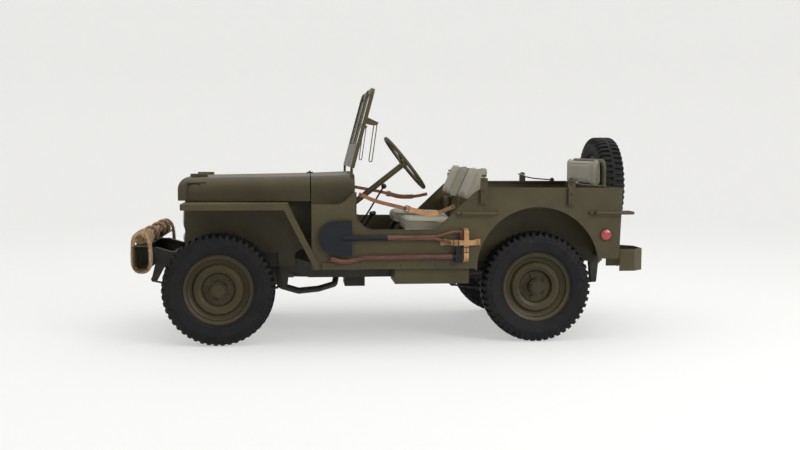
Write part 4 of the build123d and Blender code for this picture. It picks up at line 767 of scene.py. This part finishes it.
class CAR_OT_cushions(bpy.types.Operator):
    """Swells the canvas cushions with cloth simulation and sews their piping"""

    bl_idname = "car.cushions"
    bl_label = "Sew the cushions"

    def execute(self, context):
        sizes = context.scene.car_sizes
        for node, body in CUSHIONS.items():
            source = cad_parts[node]
            piece = bpy.data.objects.new(f"sewn_{node}", source.data.copy())
            context.collection.objects.link(piece)
            piece.data.materials.clear()
            piece.data.materials.append(library()["canvas"])
            self.inflate(context, piece, sizes)
            settle(piece, body, "canvas", node)
            welts = new_object(f"welts_{node}", lambda work: self.sew(work, piece), library()["canvas"], 60)
            settle(welts, body, "canvas")
        return {"FINISHED"}

    def inflate(self, context, piece, sizes):
        """Remeshes, swells within a cap and smooths."""
        context.view_layer.objects.active = piece
        shrink = piece.modifiers.new("remesh", "REMESH")
        shrink.mode = "VOXEL"
        shrink.voxel_size = sizes.voxel
        self.apply(context, piece)
        mesh = piece.data
        normals = [vertex.normal.copy() for vertex in mesh.vertices]
        for vertex, normal in zip(mesh.vertices, normals):
            vertex.co -= normal * sizes.swell * 0.62
        start = [vertex.co.copy() for vertex in mesh.vertices]
        cloth = piece.modifiers.new("cloth", "CLOTH")
        cloth.settings.use_pressure = True
        cloth.settings.uniform_pressure_force = 4.0
        cloth.settings.effector_weights.gravity = 0.0
        cloth.point_cache.frame_end = 20
        for step in range(1, 21):
            context.scene.frame_set(step)
        self.apply(context, piece)
        context.scene.frame_set(1)
        for vertex, origin in zip(piece.data.vertices, start):
            move = vertex.co - origin
            if move.length > sizes.swell:
                vertex.co = origin + move.normalized() * sizes.swell
        smooth = piece.modifiers.new("smooth", "SMOOTH")
        smooth.factor = 0.6
        smooth.iterations = 4
        self.apply(context, piece)
        division = piece.modifiers.new("division", "SUBSURF")
        division.levels = 1
        self.apply(context, piece)
        for polygon in piece.data.polygons:
            polygon.use_smooth = True

    def sew(self, work, piece):
        """Lays piping round both faces of every cushion in the piece."""
        whole = bmesh.new()
        whole.from_mesh(piece.data)
        left = set(whole.verts)
        while left:
            start = min(left, key=by_number)
            island, front = {start}, [start]
            while front:
                for edge in front.pop().link_edges:
                    for vertex in edge.verts:
                        if vertex not in island:
                            island.add(vertex)
                            front.append(vertex)
            left -= island
            spots = np.array([vertex.co[:] for vertex in sorted(island, key=by_number)])
            centre = spots.mean(axis=0)
            thin = np.linalg.eigh(np.cov((spots - centre).T))[1][:, 0]
            along = (spots - centre) @ thin
            faces = {face for vertex in island for face in vertex.link_faces}
            for face_level in (along.min(), along.max()):
                spot = Vector(centre + thin * face_level * WELT_SHARE)
                for loop in section(faces, spot, Vector(thin)):
                    rod(work, loop, WELT, 8)
        whole.free()

    def apply(self, context, piece):
        """Turns the evaluated piece into its mesh."""
        ready = piece.evaluated_get(context.evaluated_depsgraph_get())
        mesh = bpy.data.meshes.new_from_object(ready)
        piece.modifiers.clear()
        old = piece.data
        piece.data = mesh
        bpy.data.meshes.remove(old)


BINDING = 0.0475  # radius of a turn round the bundle


def wound(corners):
    """A closed turn of rope through the middles of these corners."""
    for _ in range(3):
        pairs = zip(corners, corners[1:] + corners[:1])
        corners = [here.lerp(there, share) for here, there in pairs for share in (0.25, 0.75)]
    return resample(corners + corners[:1], 150)


class CAR_OT_rope(bpy.types.Operator):
    """Lays the tow rope along the bumper and winds its turns"""

    bl_idname = "car.rope"
    bl_label = "Wind the rope"

    def execute(self, context):
        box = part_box("front_bumper")
        low, high = box[0].z, box[1].z
        front, back = box[1].x, box[0].x
        thick = 0.024
        core = Vector((front - 0.040, 0.0, high + 0.036))

        def build(work):
            for strand in range(7):
                reach = thick + 0.0005 if strand else 0.0
                lay = []
                for step in range(25):
                    y = -0.575 + 1.179 * step / 24
                    angle = math.radians(60 * strand + 300 * step / 24)
                    drift = 0.003 * math.sin(2.3 * strand + 0.9 * step)
                    across = reach * math.cos(angle) + drift
                    lay.append(Vector((core.x + across, y, core.z + reach * math.sin(angle))))
                strand_rope(work, smooth_line(lay, 240), thick)
            for y, slant in ((-0.61, 0.01), (-0.584, -0.02), (0.604, 0.02), (0.632, -0.008)):
                side = 1 if y > 0 else -1
                corners = (
                    (front + 0.013, low - 0.016, 0.3),
                    (front + 0.013, high - 0.01, 0.1),
                    (front + 0.004, core.z + 0.024, -0.4),
                    (core.x, core.z + 0.046, -1.0),
                    (core.x - 0.042, core.z + 0.018, -0.9),
                    (back - 0.013, high - 0.02, -0.2),
                    (back - 0.013, low - 0.016, 0.5),
                )
                spots = [Vector((x, y + side * slant * lean, z)) for x, z, lean in corners]
                strand_rope(work, wound(spots), thick)
            for y in (-0.43, -0.19, 0.16, 0.42, 0.52):
                ring = []
                for step in range(12):
                    angle = math.radians(30 * step)
                    across = core.x + BINDING * math.cos(angle)
                    height = max(high + 0.0125, core.z + BINDING * math.sin(angle))
                    ring.append(Vector((across, y + 0.022 * math.sin(angle * 0.5), height)))
                strand_rope(work, wound(ring), thick)

        piece = new_object("bumper_rope", build, library()["rope"], 60)
        settle(piece, "chassis", "rope", "tow_rope")
        return {"FINISHED"}


STRAP_WIDTH = 0.024
STRAP_THICKNESS = 0.0045
STRAP_SIDE = 0.714
NEAR_STRAP = ((0.236, 0.962), (0.214, 0.954), (0.151, 0.923), (0.069, 0.900), (-0.026, 0.878), (-0.153, 0.846))
NEAR_STRAP += ((-0.217, 0.833), (-0.281, 0.845), (-0.357, 0.877), (-0.372, 0.884))
FAR_STRAP = ((0.236, 0.962), (0.150, 0.945), (0.032, 0.925), (-0.083, 0.898), (-0.160, 0.875), (-0.276, 0.878))
FAR_STRAP += ((-0.350, 0.893), (-0.372, 0.898))


def buckle(work, centre, along, across, outward, size):
    """Roller buckle: a wire frame with its tongue."""
    half = size / 2
    corners = []
    for a, b in ((-1, -1), (1, -1), (1, 1), (-1, 1), (-1, -1)):
        corners.append(centre + along * a * half * 0.75 + across * b * half)
    for first, second in zip(corners, corners[1:]):
        rod(work, [first, second], 0.005, 8)
    heel, tip = centre - along * half * 0.75 + outward * 0.003, centre + along * half * 0.8 + outward * 0.004
    rod(work, [heel, tip], 0.0035, 8)


class CAR_OT_straps(bpy.types.Operator):
    """Hangs the door straps and buckles the tool straps"""

    bl_idname = "car.straps"
    bl_label = "Hang the straps"

    def execute(self, context):
        made = library()
        up, forward, out = Vector((0, 0, 1)), Vector((1, 0, 0)), Vector((0, 1, 0))

        for name, side, route in (("near", 1, NEAR_STRAP), ("far", -1, FAR_STRAP)):
            line = smooth_line([Vector((x, side * STRAP_SIDE, z)) for x, z in route], 90)
            piece = new_object(
                f"{name}_strap", lambda work: ribbon(work, line, STRAP_WIDTH, STRAP_THICKNESS, up), made["leather"], 50
            )
            settle(piece, "chassis", "leather", "straps")
            over = [point + out * side * STRAP_THICKNESS for point in line[44:74]]
            pad = new_object(
                f"{name}_strap_pad", lambda work: ribbon(work, over, 0.034, STRAP_THICKNESS, up), made["web"], 50
            )
            settle(pad, "chassis", "leather")
            length = sum((after - before).length for before, after in zip(line, line[1:]))

        def fasten(work):
            for side, route in ((1, NEAR_STRAP), (-1, FAR_STRAP)):
                line = smooth_line([Vector((x, side * STRAP_SIDE, z)) for x, z in route], 90)
                along = (line[47] - line[44]).normalized()
                buckle(work, line[45] + out * side * 0.005, along, along.cross(out), out * side, 0.038)
                for index in (2, -3):
                    bolt(work, line[index] + out * side * 0.003, out * side, 0.006, 0.004, True)

        fit("strap_buckles", fasten, "iron", 40, "chassis", "dark_metal")

        def tool_straps(work):
            face = 0.7335
            level = [Vector((x, y, 0.656)) for x, y in TOOL_STRAP_LEVEL]
            ribbon(work, resample(level, 60), 0.034, STRAP_THICKNESS, up)
            upright = [Vector((-0.4385, y, z)) for y, z in TOOL_STRAP_UPRIGHT]
            ribbon(work, resample(upright, 80), 0.032, STRAP_THICKNESS, forward)
            for x in (-0.300, -0.515):
                ribbon(work, [Vector((x - 0.02, face, 0.656)), Vector((x + 0.02, face, 0.656))], 0.040, 0.004, up)

        fit("tool_straps", tool_straps, "web", 50, "chassis", "leather")

        def tool_iron(work):
            buckle(work, Vector((-0.4385, 0.790, 0.612)), up, forward, out, 0.044)
            buckle(work, Vector((-0.372, 0.789, 0.656)), forward, up, out, 0.044)
            for x, z in ((-0.31, 0.648), (-0.31, 0.664), (-0.516, 0.656), (-0.4385, 0.742), (-0.4385, 0.532)):
                bolt(work, Vector((x, 0.7355, z)), out, 0.005, 0.004, True)

        fit("tool_buckles", tool_iron, "iron", 40, "chassis", "dark_metal")
        return {"FINISHED"}


TOOL_STRAP_LEVEL = ((-0.300, 0.7355), (-0.330, 0.745), (-0.360, 0.778), (-0.385, 0.7835), (-0.480, 0.7835))
TOOL_STRAP_LEVEL += ((-0.500, 0.765), (-0.515, 0.7355))
TOOL_STRAP_UPRIGHT = ((0.7355, 0.745), (0.772, 0.735), (0.786, 0.722), (0.786, 0.645), (0.782, 0.620), (0.786, 0.600))
TOOL_STRAP_UPRIGHT += ((0.786, 0.560), (0.775, 0.545), (0.7355, 0.530))


class CAR_OT_levers(bpy.types.Operator):
    """Replaces the plain levers with rods and round knobs"""

    bl_idname = "car.levers"
    bl_label = "Fit the levers"

    def execute(self, context):
        floor = 0.625
        rows = (
            (Vector((0.233, -0.010, floor)), Vector((0.023, 0.030, 0.985)), 0.019),
            (Vector((0.193, -0.060, floor)), Vector((0.103, -0.060, 0.790)), 0.016),
            (Vector((0.193, -0.100, floor)), Vector((0.083, -0.100, 0.790)), 0.016),
        )

        def rods(work):
            for foot, knob, _ in rows:
                bend = foot.lerp(knob, 0.22) + Vector((0.012, 0, 0.0))
                line = smooth_line([foot, bend, foot.lerp(knob, 0.5), knob], 24)
                rod(work, line, 0.012, 12)
                boot = [(0.024, 0.0), (0.020, 0.008), (0.021, 0.013), (0.014, 0.020), (0.015, 0.026), (0.007, 0.036)]
                capped(work, boot, 20, Matrix.Translation(foot))

        fit("lever_rods", rods, "knob", 50, "chassis", "dark_metal", "levers")

        def knobs(work):
            for foot, knob, radius in rows:
                turns = [math.pi * step / 12 for step in range(1, 12)]
                ball = [(radius * math.sin(turn), -radius * math.cos(turn)) for turn in turns]
                capped(work, ball, 24, facing(knob, (knob - foot).normalized()))

        fit("lever_knobs", knobs, "knob", 60, "chassis", "dark_metal")
        return {"FINISHED"}


class CAR_OT_trim(bpy.types.Operator):
    """Adds the rivets, bumper bolts and side reflectors"""

    bl_idname = "car.trim"
    bl_label = "Fit the trim"

    def execute(self, context):
        out, ahead = Vector((0, 1, 0)), Vector((1, 0, 0))

        def reflectors(work):
            for side in (1, -1):
                dome = [(0.034, 0.004), (0.033, 0.008), (0.024, 0.0115), (0.010, 0.0135), (0.002, 0.014)]
                place = facing(Vector((REFLECTOR[0], side * TUB_HALF, REFLECTOR[1])), out * side)
                capped(work, [(0.034, 0.0)] + dome, 48, place)

        fit("side_reflectors", reflectors, "red", 50, "chassis", "lamp")

        def bezels(work):
            for side in (1, -1):
                ring = [(0.0345, 0.0), (0.0395, 0.0), (0.0395, 0.006)]
                ring += [(0.0375, 0.0095), (0.0345, 0.0095), (0.0345, 0.0)]
                lathe(work, ring, 48, facing(Vector((REFLECTOR[0], side * TUB_HALF, REFLECTOR[1])), out * side))
            for side in (1, -1):
                face = side * (TUB_HALF + 0.0003)
                for x, z in TUB_BOLTS:
                    bolt(work, Vector((x, face, z)), out * side, 0.0065, 0.004, True)
            for z in (0.52, 0.562, 0.604):
                for y in (-0.352, 0.352):
                    bolt(work, Vector((1.635, y, z)), ahead, 0.010, 0.009)

        fit("body_rivets", bezels, "body", 40, "chassis", "olive_body")

        return {"FINISHED"}


REFLECTOR = (-1.353, 0.697)
TUB_BOLTS = [(0.30 - 0.11 * step, 0.508) for step in range(6)]
TUB_BOLTS += [(-1.43, height) for height in (0.50, 0.62, 0.84, 0.96)]


class CAR_OT_fittings(bpy.types.Operator):
    """Adds the hood catches, bow clamps, lamp glasses and door edges"""

    bl_idname = "car.fittings"
    bl_label = "Fit the hardware"

    def execute(self, context):
        out, up, ahead = Vector((0, 1, 0)), Vector((0, 0, 1)), Vector((1, 0, 0))

        def catches(work):
            for side in (1, -1):
                y = 0.4025 * side
                latch = ((1.325, y, 1.016), (1.326, y * 1.02, 0.985), (1.327, y * 1.022, 0.914))
                rod(work, [Vector(spot) for spot in latch], 0.008, 10)
                rod(work, [Vector((1.326, y * 0.99, 1.018)), Vector((1.216, y * 0.985, 1.024))], 0.009, 10)
                for x, reach in ((1.325, 0.024), (1.255, 0.020), (1.216, 0.016)):
                    block = facing(Vector((x, y * 0.955, 1.019)), out * side)
                    capped(work, [(0.010, 0.0), (0.010, reach), (0.006, reach + 0.004)], 8, block)

        fit("hood_catches", catches, "iron", 40, "hood", "dark_metal")

        def clamps(work):
            for side in (1, -1):
                face = side * (TUB_HALF + 0.022)
                for x, low, high in ((-0.555, 0.912, 1.048), (-1.121, 0.900, 1.028)):
                    for z in (low, (low + high) / 2, high):
                        bolt(work, Vector((x, face, z)), out * side, 0.0085, 0.008)
                    place = facing(Vector((x, face - side * 0.011, high + 0.022)), up)
                    capped(work, [(0.016, 0.0), (0.016, 0.012), (0.012, 0.014)], 20, place)
                wing = Vector((-1.121, face + side * 0.006, 1.040))
                for turn in (-1, 1):
                    tip = wing + Vector((turn * 0.026, side * 0.010, 0.012))
                    rod(work, [wing, wing + (tip - wing) * 0.6, tip], 0.010, 10)
                stay = [Vector((x, side * y, z)) for x, y, z in BOW_STAY]
                rod(work, stay, 0.010, 10)
                bolt(work, stay[-1] + out * side * 0.002, out * side, 0.012, 0.008)

        fit("bow_clamps", clamps, "body", 40, "chassis", "olive_body")

        def panes(work):
            for side in (1, -1):
                for z, radius in ((0.790, 0.076), (0.660, 0.034)):
                    dome = [(radius * share, height) for share, height in LAMP_DOME] + [(0.002, 0.0145)]
                    capped(work, dome, 48, facing(Vector((1.3535, side * 0.300, z)), ahead))

        fit("lamp_glasses", panes, "lens", 50, "chassis", "lamp")

        def sill_edges(work):
            for side in (1, -1):
                rod(work, rounded(DOOR_EDGE, side * (TUB_HALF + 0.0015)), 0.006, 10)

        fit("door_edges", sill_edges, "body", 60, "chassis", "olive_body")
        return {"FINISHED"}


BOW_STAY = ((-1.128, 0.716, 1.032), (-1.20, 0.700, 1.018), (-1.345, 0.690, 1.006))
LAMP_DOME = ((1.0, 0.0), (1.0, 0.003), (0.85, 0.0085), (0.55, 0.0125))
# corners of the door opening: x, z, radius
DOOR_EDGE = ((-0.80, 0.998, 0), (-0.529, 0.998, 0.130), (-0.250, 0.735, 0.070))
DOOR_EDGE += ((0.253, 0.735, 0.115), (0.253, 0.975, 0))


def rounded(corners, side_y):
    """A line in an upright plane whose (x, z, radius) corners are rounded."""
    spots = [Vector((x, side_y, z)) for x, z, _ in corners]
    line = [spots[0]]
    for index in range(1, len(spots) - 1):
        corner, radius = spots[index], corners[index][2]
        back, onward = (spots[index - 1] - corner).normalized(), (spots[index + 1] - corner).normalized()
        half = back.angle(onward) / 2
        middle = corner + (back + onward).normalized() * radius / math.sin(half)
        first, last = corner + back * radius / math.tan(half), corner + onward * radius / math.tan(half)
        for step in range(13):
            reach = (first - middle).normalized().slerp((last - middle).normalized(), step / 12)
            line.append(middle + reach * radius)
    return line + [spots[-1]]


CAMERA_LENS = 46.40
CAMERA_SPOT = (0.5966, 7.1735, 1.2488)
CAMERA_TURN = (-5.4945, -4.2630, 0.1385)  # yaw, pitch and roll in degrees


class CAR_OT_stage(bpy.types.Operator):
    """Builds the pale cove, the lamps and the camera"""

    bl_idname = "car.stage"
    bl_label = "Set the stage"

    def execute(self, context):
        stage = context.scene.car_stage
        level = stage.floor
        material = studio("studio_white", (level, level * 0.995, level * 0.985))
        radius = stage.radius
        bend = 3.0
        profile = [(0.001, 0.0), (2.0, 0.0), (6.0, 0.0), (radius - bend, 0.0)]
        for step in range(1, 13):
            angle = math.radians(90 * step / 12)
            profile.append((radius - bend + bend * math.sin(angle), bend - bend * math.cos(angle)))
        profile.append((radius, 7.5))
        cove = new_object("cove", lambda work: lathe(work, profile, 96), material, 60)
        cove.data.flip_normals()

        world = bpy.data.worlds.new("studio_world")
        world.use_nodes = True
        world.node_tree.nodes["Background"].inputs["Color"].default_value = (1.0, 0.995, 0.985, 1.0)
        world.node_tree.nodes["Background"].inputs["Strength"].default_value = stage.world
        context.scene.world = world

        lamps = (
            ("overhead", (0.0, 0.5, 6.2), (9.0, 6.0), stage.top, (0, 0, 0.8)),
            ("rear_side", (-5.5, 6.5, 4.0), (3.0, 3.0), stage.top * 2.6, (-1.0, 0, 0.8)),
        )
        for name, spot, size, power, aim in lamps:
            lamp = bpy.data.lights.new(name, "AREA")
            lamp.shape = "RECTANGLE"
            lamp.size, lamp.size_y = size
            lamp.energy = power
            holder = bpy.data.objects.new(name, lamp)
            holder.location = spot
            holder.rotation_euler = (Vector(aim) - Vector(spot)).to_track_quat("-Z", "Y").to_euler()
            context.collection.objects.link(holder)

        lens = bpy.data.cameras.new("camera")
        lens.lens = CAMERA_LENS
        lens.sensor_width = 36.0
        camera = bpy.data.objects.new("camera", lens)
        yaw, pitch, roll = (math.radians(angle) for angle in CAMERA_TURN)
        ahead = Vector((math.sin(yaw) * math.cos(pitch), -math.cos(yaw) * math.cos(pitch), math.sin(pitch)))
        right = ahead.cross(Vector((0, 0, 1))).normalized()
        above = right.cross(ahead)
        right, above = (
            right * math.cos(roll) + above * math.sin(roll),
            above * math.cos(roll) - right * math.sin(roll),
        )
        turn = Matrix((right, above, -ahead)).transposed().to_4x4()
        camera.matrix_world = Matrix.Translation(CAMERA_SPOT) @ turn
        context.collection.objects.link(camera)
        context.scene.camera = camera
        context.scene.view_settings.view_transform = "Standard"
        return {"FINISHED"}


class CAR_PT_panel(bpy.types.Panel):
    """Panel with the car's steps"""

    bl_label = "Army car"
    bl_space_type = "VIEW_3D"
    bl_region_type = "UI"
    bl_category = "Army car"

    def draw(self, context):
        for group in (context.scene.car_sizes, context.scene.car_stage):
            for name in group.bl_rna.properties.keys():
                if name not in ("rna_type", "name"):
                    self.layout.prop(group, name)
        for operator in STEPS:
            self.layout.operator(operator.bl_idname)


STEPS = (CAR_OT_nodes, CAR_OT_tyres, CAR_OT_cushions, CAR_OT_rope, CAR_OT_straps, CAR_OT_levers)
STEPS += (CAR_OT_trim, CAR_OT_fittings, CAR_OT_stage)
CLASSES = (CarSettings, StageSettings, *STEPS, CAR_PT_panel)


def register():
    for entry in CLASSES:
        bpy.utils.register_class(entry)
    bpy.types.Scene.car_sizes = bpy.props.PointerProperty(type=CarSettings)
    bpy.types.Scene.car_stage = bpy.props.PointerProperty(type=StageSettings)


def unregister():
    del bpy.types.Scene.car_stage
    del bpy.types.Scene.car_sizes
    for entry in reversed(CLASSES):
        bpy.utils.unregister_class(entry)


def main():
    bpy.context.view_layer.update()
    register()
    for name in ("nodes", "tyres", "cushions", "rope", "straps", "levers", "trim", "fittings", "stage"):
        getattr(bpy.ops.car, name)()


if __name__ == "__main__":
    main()
